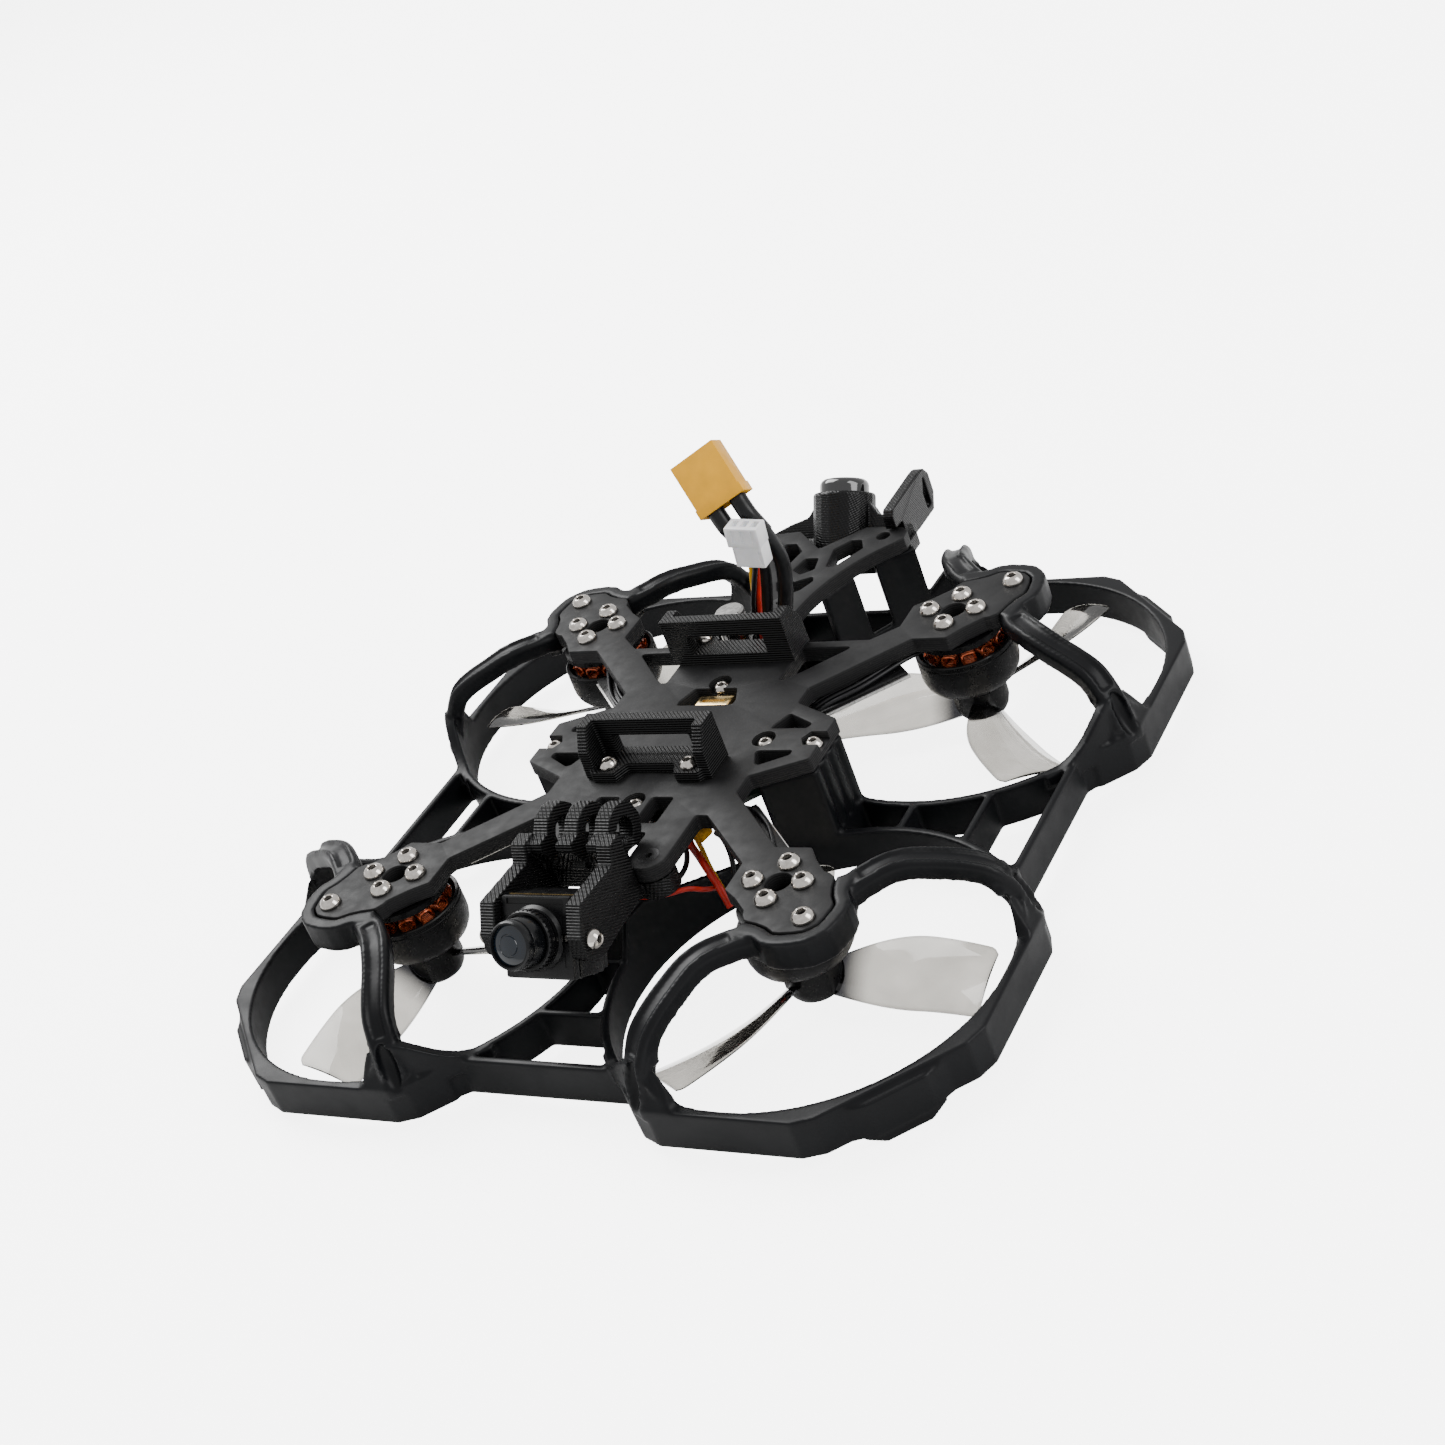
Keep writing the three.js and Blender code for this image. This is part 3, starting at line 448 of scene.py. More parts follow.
def varied_look(name, color, tone, rough, grain, **more):
    """A material whose colour and shine vary between two factors and whose height has a fine grain."""
    look = Look(name)
    size, detail, dark, light = tone
    shades = [tuple(min(1, c * factor) for c in color) for factor in (dark, light)]
    rough_size, rough_detail, smoothest, roughest = rough
    grain_size, grain_detail, depth = grain
    look.set(Base_Color=look.ramp(look.noise(size, detail), *shades),
             Roughness=look.ramp(look.noise(rough_size, rough_detail), smoothest, roughest),
             Normal=look.bump(look.noise(grain_size, grain_detail), depth), **more)
    return look.material


def gloss_look(name, color, rough, specular, metallic=0.0, coat=0.0, speck=0.002):
    return varied_look(name, color, (4, 3, 0.8, 1.15), (1.2, 4, rough * 0.75, rough * 1.4), (0.3, 2, speck),
                       Specular_IOR_Level=specular, Metallic=metallic, Coat_Weight=coat, Coat_Roughness=0.08)


def rubber_look(name, color, rough):
    return varied_look(name, color, (2.5, 4, 0.7, 1.25), (1.5, 3, rough * 0.8, rough * 1.3), (0.4, 3, 0.012),
                       Specular_IOR_Level=0.32)


def nylon_look(name, color, rough, scatter):
    return varied_look(name, color, (3.5, 4, 0.88, 1.06), (1.5, 3, rough * 0.8, rough * 1.25),
                       (0.35, 3, 0.010), Subsurface_Weight=scatter, Subsurface_Scale=1.0,
                       Subsurface_Radius=(1.2 * MM, 0.8 * MM, 0.4 * MM))


def steel_look(name):
    """Bright steel with painted shade: it turns dark and less metallic where the depth attribute marks a sunk
    socket.
    """
    look = Look(name)
    tone = look.ramp(look.noise(0.9, 3), (0.56, 0.52, 0.48), (0.80, 0.76, 0.71))
    depth = look.node("ShaderNodeAttribute", attribute_name="depth").outputs["Fac"]
    # Painted shade: the inside of the socket gets a near-black colour.
    tone = look.blend(depth, tone, (0.015, 0.014, 0.013))
    metallic = look.math("SUBTRACT", 1.0, look.math("MULTIPLY", depth, 0.6))
    look.set(Base_Color=tone, Metallic=metallic, Roughness=look.ramp(look.noise(0.4, 3), 0.10, 0.26),
             Normal=look.bump(look.noise(0.2, 2), 0.004))
    return look.material


def smoke_look(name):
    """Smoky clear plastic that darkens towards the thick hub, with painted shade along the blade edges; each
    blade carries both in its depth attribute.
    """
    look = Look(name)
    depth = look.node("ShaderNodeAttribute", attribute_name="depth").outputs["Fac"]
    clear = look.ramp(look.noise(9, 2), (0.165, 0.158, 0.143), (0.215, 0.206, 0.19))
    # The depth attribute darkens the tint: for the thicker root near the hub, and as painted shade on the
    # blade edges and tip.
    tint = look.blend(depth, clear, (0.010, 0.010, 0.011))
    look.set(Base_Color=tint, Roughness=look.ramp(look.noise(3, 2), 0.03, 0.09), IOR=1.42,
             Transmission_Weight=0.96, Specular_IOR_Level=0.5, Normal=look.bump(look.noise(6, 2), 0.02))
    return look.material


def copper_look(name):
    """Lacquered copper wire."""
    look = Look(name)
    tone = look.ramp(look.noise(0.8, 3), (0.30, 0.045, 0.015), (0.62, 0.14, 0.05))
    look.set(Base_Color=tone, Metallic=0.85, Roughness=look.ramp(look.noise(0.5, 2), 0.2, 0.42),
             Coat_Weight=0.4, Normal=look.bump(look.noise(0.15, 2), 0.006))
    return look.material


def board_look(name):
    """A circuit board with a fine mesh of tracks."""
    look = Look(name)
    tracks = look.node("ShaderNodeTexBrick", {
        "Vector": look.place(), "Scale": 900.0, "Color1": (0.006, 0.014, 0.010, 1),
        "Color2": (0.009, 0.020, 0.014, 1), "Mortar": (0.020, 0.034, 0.024, 1)}).outputs["Color"]
    look.set(Base_Color=tracks, Roughness=look.ramp(look.noise(2, 3), 0.25, 0.5),
             Normal=look.bump(look.noise(0.3, 3), 0.01))
    return look.material


guard_plastic = moulded_look("guard_plastic", (0.0028, 0.0030, 0.0037), (0.0052, 0.0055, 0.0066))
plate_sheet = plate_look("plate_sheet")
mount_print = printed_look("mount_print", (0, 0.5, 0.866), 0.52, (0.7, 0.5, -0.3), 0.6, (0.26, 0.5))
bracket_print = printed_look("bracket_print", (0, 0, 1), 0.5, (0.707, 0.707, 0), 0.6)
antenna_print = printed_look("antenna_print", (0, 0, 1), 0.4, (0.707, 0.707, 0), 0.6, (0.16, 0.32), 0.045)
steel = steel_look("steel")
dark_steel = gloss_look("dark_steel", (0.03, 0.03, 0.031), 0.28, 0.5, 0.6)
bell_black = gloss_look("bell_black", (0.003, 0.003, 0.0034), 0.3, 0.26, 0.0, 0.0, 0.001)
case_black = gloss_look("case_black", (0.0045, 0.0045, 0.005), 0.28, 0.3)
barrel_black = gloss_look("barrel_black", (0.003, 0.0033, 0.0042), 0.22, 0.34)
cap_black = gloss_look("cap_black", (0.004, 0.004, 0.0045), 0.06, 0.6, 0.0, 1.0, 0.0005)
lens_blue = gloss_look("lens_blue", (0.002, 0.006, 0.012), 0.04, 0.5, 0.0, 0.4, 0.0001)
copper = copper_look("copper")
laminations = gloss_look("laminations", (0.02, 0.02, 0.02), 0.35, 0.4, 0.5)
smoke = smoke_look("smoke")
board_green = board_look("board_green")
chip_black = gloss_look("chip_black", (0.01, 0.01, 0.011), 0.4, 0.35)
gold = gloss_look("gold", (0.80, 0.58, 0.26), 0.18, 0.5, 1.0)
tin = gloss_look("tin", (0.42, 0.41, 0.40), 0.26, 0.5, 1.0)
bright_tin = gloss_look("bright_tin", (0.72, 0.71, 0.69), 0.3, 0.5, 0.6)
yellow_nylon = nylon_look("yellow_nylon", (0.84, 0.40, 0.001), 0.4, 0.0)
white_nylon = nylon_look("white_nylon", (0.93, 0.93, 0.95), 0.36, 0.1)
black_silicone = rubber_look("black_silicone", (0.0055, 0.0058, 0.007), 0.38)
heat_shrink = rubber_look("heat_shrink", (0.005, 0.005, 0.0058), 0.32)
red_wire = rubber_look("red_wire", (0.46, 0.018, 0.010), 0.34)
yellow_wire = rubber_look("yellow_wire", (0.80, 0.42, 0.015), 0.34)
black_wire = rubber_look("black_wire", (0.006, 0.006, 0.007), 0.34)


# ---------------------------------------------------------------- battery leads

LEAD_ROUTES = {
    "power_lead_left": [
        (-2.4, 22.6, 20.6), (-2.3, 27, 20.4), (-1.9, 31.5, 20.9), (-1.0, 34.9, 23.4), (1.2, 36.6, 28),
        (3.2, 37.3, 34), (4.3, 37.6, 40), (3.4, 36.4, 45.2), (1.7, 35.4, 49.2), (0.33, 35.92, 51.69)],
    "power_lead_right": [
        (3.4, 22.6, 20.6), (3.8, 27, 20.4), (4.3, 31.3, 20.8), (4.8, 34.9, 23.2), (5.6, 36.8, 28),
        (7.4, 38.0, 34), (8.3, 38.6, 40), (7.6, 37.8, 46), (6.1, 37.0, 50.9), (4.59, 37.84, 53.45)],
}
BALANCE_ROUTE = [
    (0.5, 22.4, 20.8), (0.8, 26.6, 20.6), (1.2, 30, 20.8), (1.8, 32.2, 23.9), (2.5, 32.6, 29),
    (3.6, 32.5, 34), (5, 32.5, 38.6), (6.3, 32.6, 42.7)]
LEAD_DIAMETER = 3.0 * MM
SLEEVE_RADIUS = 1.72 * MM
SLEEVE_STEPS = slice(-24, -3)
CONNECTOR_MIDDLE = (-0.7, 39.1, 57.8)
CONNECTOR_ALONG = (-0.486, 0.341, 0.805)
CONNECTOR_ACROSS = (0.853, 0.384, 0.352)
PIN_SPACING = 5.0
BALANCE_WIRES = {"red": (red_wire, 90), "yellow": (yellow_wire, 210), "black": (black_wire, 330)}
BALANCE_WIRE_RADIUS = 0.52 * MM
BALANCE_BUNDLE_RADIUS = 0.6 * MM
BALANCE_TWIST = 260
PLUG_FOOT = (6.6, 32.5, 43.1)
PLUG_POLES = (-2.1, 0, 2.1)


def route_length(points):
    return sum((b - a).length for a, b in zip(points, points[1:]))


def connector_frame():
    """The battery connector's own frame: x across its two pins, y along it to its open end."""
    along = Vector(CONNECTOR_ALONG).normalized()
    across = Vector(CONNECTOR_ACROSS)
    across = (across - along * across.dot(along)).normalized()
    placed = Matrix((across, along, across.cross(along))).transposed().to_4x4()
    placed.translation = at(*CONNECTOR_MIDDLE)
    return placed


def make_power_leads():
    placed = connector_frame()
    shell = block((9.8, 9.5, 5.0), (0, 0.8, 0), placed)
    shell = combined(shell, [block((10.2, 1.9, 5.2), (0, -4.65, 0), placed)])
    mouth = block((8.2, 4, 3.6), (0, 4.4, 0), placed)
    back = block((8.4, 1.8, 3.7), (0, -5.2, 0), placed)
    shell = bevelled(cut(shell, [mouth, back]), 0.34 * MM, 3)
    connector = new_object("connector_shell", shell, yellow_nylon, "power_connector")
    pin_profile = [(0, 2.2), (1.0, 2.2), (1.0, 4.8), (0.7, 5.2), (0, 5.2)]
    pins = []
    for x in (-PIN_SPACING / 2, PIN_SPACING / 2):
        pins.append(lathe(pin_profile, 24, placed @ turned(-90, "X") @ Matrix.Translation((x * MM, 0, 0))))
    new_object("connector_pins", joined(pins), gold)
    for name, points in LEAD_ROUTES.items():
        inside = placed.to_3x3() @ Vector((0, 2.2 * MM, 0))
        route = smooth_route([*(at(*point) for point in points), at(*points[-1]) + inside])
        lead = new_wire(f"{name}_cord", route, LEAD_DIAMETER / 2, black_silicone, name)
        sleeve_mesh = swept(route[SLEEVE_STEPS], circle(0, 0, SLEEVE_RADIUS, 20))
        sleeve = new_object(f"{name}_sleeve", sleeve_mesh, heat_shrink)
        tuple(route[0])
        route_length(route)


def plug_frame():
    placed = turned(6, "Y")
    placed.translation = at(*PLUG_FOOT)
    return placed


def make_balance_lead():
    """The plug with a slot for each pole, and its wires twisted round the middle of the bundle."""
    centre = smooth_route([at(*point) for point in BALANCE_ROUTE])
    placed = plug_frame()
    upper = block((6.9, 3.8, 4.2), (-0.2, 0, 6.5), placed, 0.3)
    lower = block((6.1, 3.4, 4.6), (0.1, 0, 2.4), placed, 0.25)
    shell = combined(upper, [lower])
    slots = []
    for x in PLUG_POLES:
        slots += [block((0.7, 0.5, 2.6), (x, side * 1.9, 6.8), placed) for side in (1, -1)]
    slots += [block((1.3, 2.0, 2.0), (x, 0, 8.2), placed) for x in PLUG_POLES]
    slots += [block((0.5, 0.5, 3.0), (side * 2.6, -1.7, 2.2), placed) for side in (1, -1)]
    plug = new_object("balance_plug_shell", cut(shell, slots), white_nylon, "balance_plug")
    for color, (look, turn) in BALANCE_WIRES.items():
        route = []
        for i, place in enumerate(centre):
            angle = math.radians(turn + BALANCE_TWIST * i / len(centre))
            ahead = (centre[min(i + 1, len(centre) - 1)] - centre[max(i - 1, 0)]).normalized()
            side = ahead.cross(Vector((1, 0, 0))).normalized()
            offset = side * math.cos(angle) + ahead.cross(side) * math.sin(angle)
            route.append(place + offset * BALANCE_BUNDLE_RADIUS)
        wire = new_wire(f"balance_wire_{color}", route, BALANCE_WIRE_RADIUS, look,
                        "balance_lead")
        route_length(route)


# ---------------------------------------------------------------- plates

STACK_SCREWS = [(0, 18.03), (0, -18.03), (18.03, 0), (-18.03, 0)]
SHEET_EDGE = 0.22
BRACKET_HOLE_AREA = 2.5
SINK_RADIUS = 2.25
SINK_DEPTH = 1.6
WING_NOTCH = [(25.7, 0), (26.8, 2), (31, 2), (31, -2), (26.8, -2)]


def outlines(node, height, up):
    """Closed outlines of a node's flat face at a height in millimetres, outer ones anticlockwise."""
    bm = bmesh.new()
    bm.from_mesh(cad_mesh(node))
    faces = {face for face in bm.faces
             if abs(face.calc_center_median().z - height * MM) < 1e-5 and face.normal.z * up > 0.9}
    ahead = {}
    for face in faces:
        for loop in face.loops:
            others = [other for other in loop.edge.link_faces if other in faces]
            if len(others) == 1:
                ahead[loop.vert] = loop.link_loop_next.vert
    loops = []
    while ahead:
        start = next(iter(ahead))
        chain = []
        vert = start
        while vert in ahead:
            chain.append(Vector((vert.co.x, vert.co.y)) / MM)
            vert = ahead.pop(vert)
        loops.append(chain if up > 0 else chain[::-1])
    bm.free()
    return loops


def area_of(loop):
    return sum(a.cross(b) for a, b in zip(loop, loop[1:] + loop[:1])) / 2


def encloses(loop, point):
    """Whether a point is inside an outline, from how many sides lie to its right."""
    inside = False
    for a, b in zip(loop, loop[1:] + loop[:1]):
        crosses = (a.y > point.y) != (b.y > point.y)
        if crosses and point.x < a.x + (point.y - a.y) * (b.x - a.x) / (b.y - a.y):
            inside = not inside
    return inside


def refined(loop, fillet):
    """An outline with its round holes made truly round, and its corners given a small fillet."""
    centre = sum(loop, Vector((0, 0))) / len(loop)
    radii = [(point - centre).length for point in loop]
    if max(radii) - min(radii) < 0.03 * max(radii) and len(loop) > 5:
        turns = [2 * math.pi * i / 48 for i in range(48)]
        made = [centre + Vector((math.cos(a), math.sin(a))) * max(radii) for a in turns]
        return made if area_of(loop) > 0 else made[::-1]
    made = []
    for before, point, after in zip(loop[-1:] + loop[:-1], loop, loop[1:] + loop[:1]):
        back, ahead = before - point, after - point
        turn = math.pi - back.angle(ahead)
        if turn < math.radians(2):
            continue
        if turn < math.radians(20):
            made.append(point)
            continue
        reach = min(fillet * math.tan(turn / 2), back.length * 0.4, ahead.length * 0.4)
        start, end = point + back.normalized() * reach, point + ahead.normalized() * reach
        for i in range(5):
            t = i / 4
            made.append(start * (1 - t) ** 2 + point * 2 * t * (1 - t) + end * t * t)
    return made


def inset(loop, distance):
    """The outline moved into the material by a distance, which keeps its corners matched."""
    made = []
    for before, point, after in zip(loop[-1:] + loop[:-1], loop, loop[1:] + loop[:1]):
        a, b = (point - before).normalized(), (after - point).normalized()
        normal = Vector((-a.y - b.y, a.x + b.x))
        scale = max(0.35, normal.length_squared / 2)
        made.append(point + normal * distance / scale)
    return made


def sheet_mesh(loops, bottom, top):
    """A flat sheet with holes and softly rounded edges, from outlines in millimetres."""
    bm = bmesh.new()
    edge = SHEET_EDGE
    steps = [math.radians(a) for a in (90, 60, 30, 0)]
    rows = [(edge * (1 - math.cos(a)), top - edge + edge * math.sin(a)) for a in steps]
    rows += [(d, bottom + top - z) for d, z in reversed(rows)]
    caps = {0: [], len(rows) - 1: []}
    cap_loops = [inset(loop, edge) for loop in loops]
    for loop in loops:
        rings = []
        for distance, height in rows:
            points = inset(loop, distance) if distance else loop
            rings.append([bm.verts.new((x * MM, y * MM, height * MM)) for x, y in points])
        for low, high in zip(rings, rings[1:]):
            for i in range(len(loop)):
                j = (i + 1) % len(loop)
                bm.faces.new((low[i], low[j], high[j], high[i]))
        for row, found in caps.items():
            found.append(rings[row])
    for rings in caps.values():
        verts = [vert for ring in rings for vert in ring]
        edges, start = [], 0
        for ring in rings:
            edges += [(start + i, start + (i + 1) % len(ring)) for i in range(len(ring))]
            start += len(ring)
        points = [Vector((vert.co.x, vert.co.y)) / MM for vert in verts]
        places, _, faces, sources, _, _ = delaunay_2d_cdt(points, edges, [], 0, 1e-5)
        for face in faces:
            centre = sum((places[i] for i in face), Vector((0, 0))) / 3
            if sum(encloses(loop, centre) for loop in cap_loops) % 2:
                bm.faces.new([verts[sources[i][0]] for i in face])
    return mesh_of(bm, 40)


def make_plates():
    """The main plate, without the screw holes that the brackets cover, and the rear deck."""
    seen = outlines("main_plate", PLATE_BOTTOM, -1)
    loops = [refined(loop, 0.7) for loop in seen if abs(area_of(loop)) > BRACKET_HOLE_AREA]
    plate = sheet_mesh(loops, PLATE_BOTTOM, PLATE_TOP)
    sunk = (PLATE_TOP - SINK_DEPTH, PLATE_TOP + 1)
    sinks = []
    for x, y in STACK_SCREWS:
        centre = at(x, y, 0) / MM
        sinks.append(prism(circle(centre.x, centre.y, SINK_RADIUS, 40), *sunk))
    for side in (1, -1):
        sinks.append(prism([(x * side, y + HUB_Y / MM) for x, y in WING_NOTCH], *sunk))
    new_object("main_plate_sheet", cut(plate, sinks, 40), plate_sheet, "main_plate")
    loops = [refined(loop, 0.6) for loop in outlines("rear_deck", PLATE_TOP, 1)]
    deck = sheet_mesh(loops, PLATE_BOTTOM, PLATE_TOP)
    new_object("rear_deck_sheet", deck, plate_sheet, "rear_deck")


# ---------------------------------------------------------------- prop guard

ARM_LINE = [
    (10.6, 1.2, 23.9), (13.6, -2.7, 24.6), (16.6, -5.7, 24.9), (19.3, -7.7, 24.6), (22.6, -9.5, 23.4),
    (26.7, -11.3, 21.8), (30, -12.7, 19.8), (32, -13.7, 16.6), (33.2, -14.4, 13.3), (34.5, -15, 7.5)]
RING_INNER = 35.2
RING_OUTER = 36.7
RING_BOTTOM, RING_TOP = 2.0, 9.5
ARM_SECTION = [(-2.6, -1.8), (2.6, -1.8), (2.6, 1.0), (1.9, 1.8), (-1.9, 1.8), (-2.6, 1.0)]
CHANNEL_SECTION = [(-1.15, 1.15), (1.15, 1.15), (1.6, 2.6), (-1.6, 2.6)]
ARM_STEPS = slice(0, 52)
CHANNEL_STEPS = slice(6, 42)
FOOT_DIRECTION = -23.7
FOOT_RISE = 8.0
SKIRT_OUTER = 37.3
CAMERA_WALL = {128: 9.4, 140: 10.2, 150: 11.6, 160: 13.7, 168: 15.6, 176: 15.6, 183: 9.4}


def guard_arm_places():
    """Each of the eight arms as a function from its own (along, across, height) to a frame point."""
    places = []
    for side, end in CORNERS.values():
        for swap in (False, True):
            def place(a, b, z, side=side, end=end, swap=swap):
                x, y = (b, a) if swap else (a, b)
                return at(side * (MOTOR_XY + x), end * (MOTOR_XY + y), z)
            places.append(place)
    return places


def wall_between(place, directions, tops, inner, outer, bottom=7.0):
    """A piece of round wall whose top height changes with the direction, in degrees."""
    bm = bmesh.new()
    rings = []
    for direction, top in zip(directions, tops):
        c, s = math.cos(math.radians(direction)), math.sin(math.radians(direction))
        corners = [(inner, bottom), (outer, bottom), (outer, top), (inner, top)]
        rings.append([bm.verts.new(place(r * c, r * s, z)) for r, z in corners])
    for low, high in zip(rings, rings[1:]):
        for i in range(4):
            bm.faces.new((low[i], low[(i + 1) % 4], high[(i + 1) % 4], high[i]))
    bm.faces.new(rings[0])
    bm.faces.new(rings[-1])
    return mesh_of(bm)


def make_guard():
    """The CAD moulding with round ducts, eight channelled arms, and walls that rise to arms and camera."""
    wall = [(RING_INNER, RING_BOTTOM), (RING_OUTER, RING_BOTTOM), (RING_OUTER, RING_TOP),
            (RING_INNER, RING_TOP), (RING_INNER, RING_BOTTOM)]
    bore = [(0, -1), (RING_INNER, -1), (RING_INNER, 15.9), (0, 15.9)]
    places = [Matrix.Translation((*axis, 0)) for axis in MOTOR_AXES.values()]
    guard = combined(cad_mesh("prop_guard"), [lathe(wall, 180, placed) for placed in places])
    guard = cut(guard, [lathe(bore, 180, placed) for placed in places])
    arms, channels, pockets, skirts = [], [], [], []
    for place in guard_arm_places():
        line = smooth_route([place(*point) for point in ARM_LINE], 6)
        arms.append(swept(line[ARM_STEPS], [(u * MM, v * MM) for u, v in ARM_SECTION]))
        channels.append(swept(line[CHANNEL_STEPS], [(u * MM, v * MM) for u, v in CHANNEL_SECTION]))
        foot = (place(35.2, -15.5, 9.5) - place(32.4, -13.9, 17.5)).normalized()
        pockets.append(ellipsoid(place(34.9, -15.0, 13.0), foot, (1.6, 1.6, 4.6)))
        directions = [FOOT_DIRECTION + step for step in range(-26, 15, 2)]
        spreads = [(d - FOOT_DIRECTION) / (13 if d < FOOT_DIRECTION else 7) for d in directions]
        tops = [9.0 + FOOT_RISE * math.exp(-spread ** 2) for spread in spreads]
        skirts.append(wall_between(place, directions, tops, RING_INNER, SKIRT_OUTER))
    for side in (1, -1):
        def from_motor(a, b, z, side=side):
            return at(side * (MOTOR_XY + a), -MOTOR_XY + b, z)
        skirts.append(wall_between(from_motor, CAMERA_WALL.keys(), CAMERA_WALL.values(), 35.3, 36.6))
    guard = cut(combined(guard, arms + skirts), pockets + channels)
    guard = softened(guard, 0.36 * MM, 4)
    new_object("prop_guard_moulding", guard, guard_plastic, "prop_guard")


# ---------------------------------------------------------------- printed parts

SIDE_ON = Matrix.Translation(at(0, 0, 0)) @ turned(90, "Z") @ turned(90, "X")
CHEEK_PANEL = [(-40, 30), (-36.5, 28.4), (-35.5, 24), (-43.5, 22.4), (-47, 24.6), (-45.4, 28.4)]
PANEL_DEPTH = 0.55
ANTENNA_ARM = [(69.5, 26.9), (69.5, 29.6), (70.6, 30.8), (84, 31), (86, 30.8), (84, 27), (75, 26.9)]


def make_prints():
    """The printed parts; an outline drawn side on is in (y, z)."""
    for name in ("battery_bracket_front", "battery_bracket_rear"):
        mesh = softened(cad_mesh(name), 0.2 * MM, 2)
        new_object(f"{name}_print", mesh, bracket_print, name)
    gaps = [block((3.1, 16, 12), (side * 3.15, -38 + HUB_Y / MM, 34.6)) for side in (1, -1)]
    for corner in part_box("camera_mount"):
        x = corner.x / MM
        gaps.append(prism(CHEEK_PANEL, x - PANEL_DEPTH, x + PANEL_DEPTH, SIDE_ON, 0.2))
    mesh = softened(cut(cad_mesh("camera_mount"), gaps), 0.19 * MM, 2)
    new_object("camera_mount_print", mesh, mount_print, "camera_mount")
    mesh = combined(cad_mesh("antenna_mount"), [prism(ANTENNA_ARM, 13.05, 15.45, SIDE_ON)])
    mesh = softened(mesh, 0.22 * MM, 3)
    new_object("antenna_mount_print", mesh, antenna_print, "antenna_mount")


# ---------------------------------------------------------------- screws

BRACKET_SCREWS = [(8.5, -10.5), (-8.5, -10.5), (8.5, 29.8), (-8.5, 29.8)]
COUNTERSUNK = [(11.2, -33.3), (-11.2, -33.3), (0, 45)]
CONE_PROFILE = [(0, -2.6), (0.95, -2.6), (0.95, -1.2), (1.95, -0.12), (1.95, 0.0), (0, 0.0)]
WING_SINK = 1.5
CAMERA_HEAD = 1.45


def button_head(radius, height, shank, length):
    """A button head whose underside is at height 0, with a hexagonal socket, and its shank below."""
    dome = [(1, 0), (1, 0.16), (0.965, 0.32), (0.86, 0.60), (0.70, 0.83), (0.55, 0.96), (0.5, 1)]
    dome = [(radius * across, height * up) for across, up in dome]
    head = lathe([(0, -length), (shank, -length), (shank, 0), *dome, (0, height)], 40)
    socket = prism(circle(0, 0, radius * 0.46, 6), height * 0.35, height * 1.5)
    rim = [(0, 0.86), (0.46, 0.86), (0.55, 1.1), (0, 1.1)]
    rim = lathe([(radius * across, height * up) for across, up in rim], 40)
    head = cut(head, [socket, rim], 32)
    # The depth attribute marks the inside of the socket, which the steel paints with shade.
    sunk = [vert.co.xy.length < radius * 0.5 * MM and 0 < vert.co.z < height * 0.7 * MM
            for vert in head.vertices]
    depth = head.attributes.new("depth", "FLOAT", "POINT")
    depth.data.foreach_set("value", np.array(sunk, np.float32))
    return head


def put_screw(name, mesh, place, turn, replaces=None, lean=Matrix(), body="airframe"):
    """A copy of a screw, turned round its own axis by an angle in radians."""
    moved = mesh.copy()
    moved.transform(Matrix.Translation(place) @ lean @ Matrix.Rotation(turn, 4, "Z"))
    new_object(name, moved, steel, replaces, body)


def make_screws():
    seeded = random.Random(7)
    pad_head = button_head(2.0, 1.45, 0.9, 2.2)
    small_head = button_head(1.7, 1.25, 0.9, 1.4)
    side_head = button_head(1.75, CAMERA_HEAD, 0.95, 5.0)
    for corner in CORNERS:
        nodes = [f"motor_screw_{corner}_{i}" for i in (1, 2, 3, 4)] + [f"guard_screw_{corner}"]
        for node in nodes:
            place = middle(node)
            place.z = (PLATE_TOP + 0.1) * MM
            put_screw(f"{node}_head", pad_head, place, seeded.uniform(0, math.pi), node)
    for side, name in ((1, "right"), (-1, "left")):
        node = f"wing_screw_{name}"
        place = middle(node)
        place.z = (PLATE_TOP - WING_SINK) * MM
        put_screw(f"{node}_head", small_head, place, 0.4, node)
        node = f"camera_screw_{name}"
        low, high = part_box(node)
        place = middle(node)
        place.x = (high.x if side > 0 else low.x) - side * (CAMERA_HEAD + 0.05) * MM
        put_screw(f"{node}_head", side_head, place, 0.3, node, turned(side * 90, "Y"), "camera")
    for i, (x, y) in enumerate(STACK_SCREWS, 1):
        put_screw(f"stack_screw_{i}", small_head, at(x, y, PLATE_TOP - WING_SINK), seeded.uniform(0, 3))
    for i, (x, y) in enumerate(BRACKET_SCREWS, 1):
        put_screw(f"bracket_screw_{i}", small_head, at(x, y, PLATE_TOP + 2.2), seeded.uniform(0, 3))
    for i, (x, y) in enumerate(COUNTERSUNK, 1):
        cone = cut(lathe(CONE_PROFILE, 40), [prism(circle(0, 0, 0.72, 6), -0.8, 1)])
        cone.transform(Matrix.Translation(at(x, y, PLATE_TOP + 0.02)))
        new_object(f"countersunk_screw_{i}", cone, dark_steel)


# ---------------------------------------------------------------- motors and propellers

COIL_TURNS, COIL_STEPS = 6, 12
TEETH = 12
BASE_PROFILE = [
    (0, 18.9), (3.1, 18.9), (3.1, 21.3), (5.2, 21.5), (7.9, 21.7), (8.3, 22.0), (8.3, 23.1), (0, 23.1)]
CORE_PROFILE = [(3.3, 15.4), (7.9, 15.4), (7.9, 19.0), (3.3, 19.0), (3.3, 15.4)]
BELL_PROFILE = [
    (0, 10.9), (5.3, 10.9), (5.9, 11.0), (7.3, 11.55), (8.3, 12.3), (9.0, 13.35), (9.33, 14.5),
    (9.4, 15.4), (9.4, 18.55), (9.28, 18.65), (9.28, 18.85), (9.4, 18.95), (9.4, 19.55), (9.2, 19.75),
    (8.75, 19.75), (8.6, 19.55), (8.55, 14.4), (7.4, 13.1), (5.4, 12.6), (1.5, 12.6), (1.5, 18.2),
    (0, 18.2)]
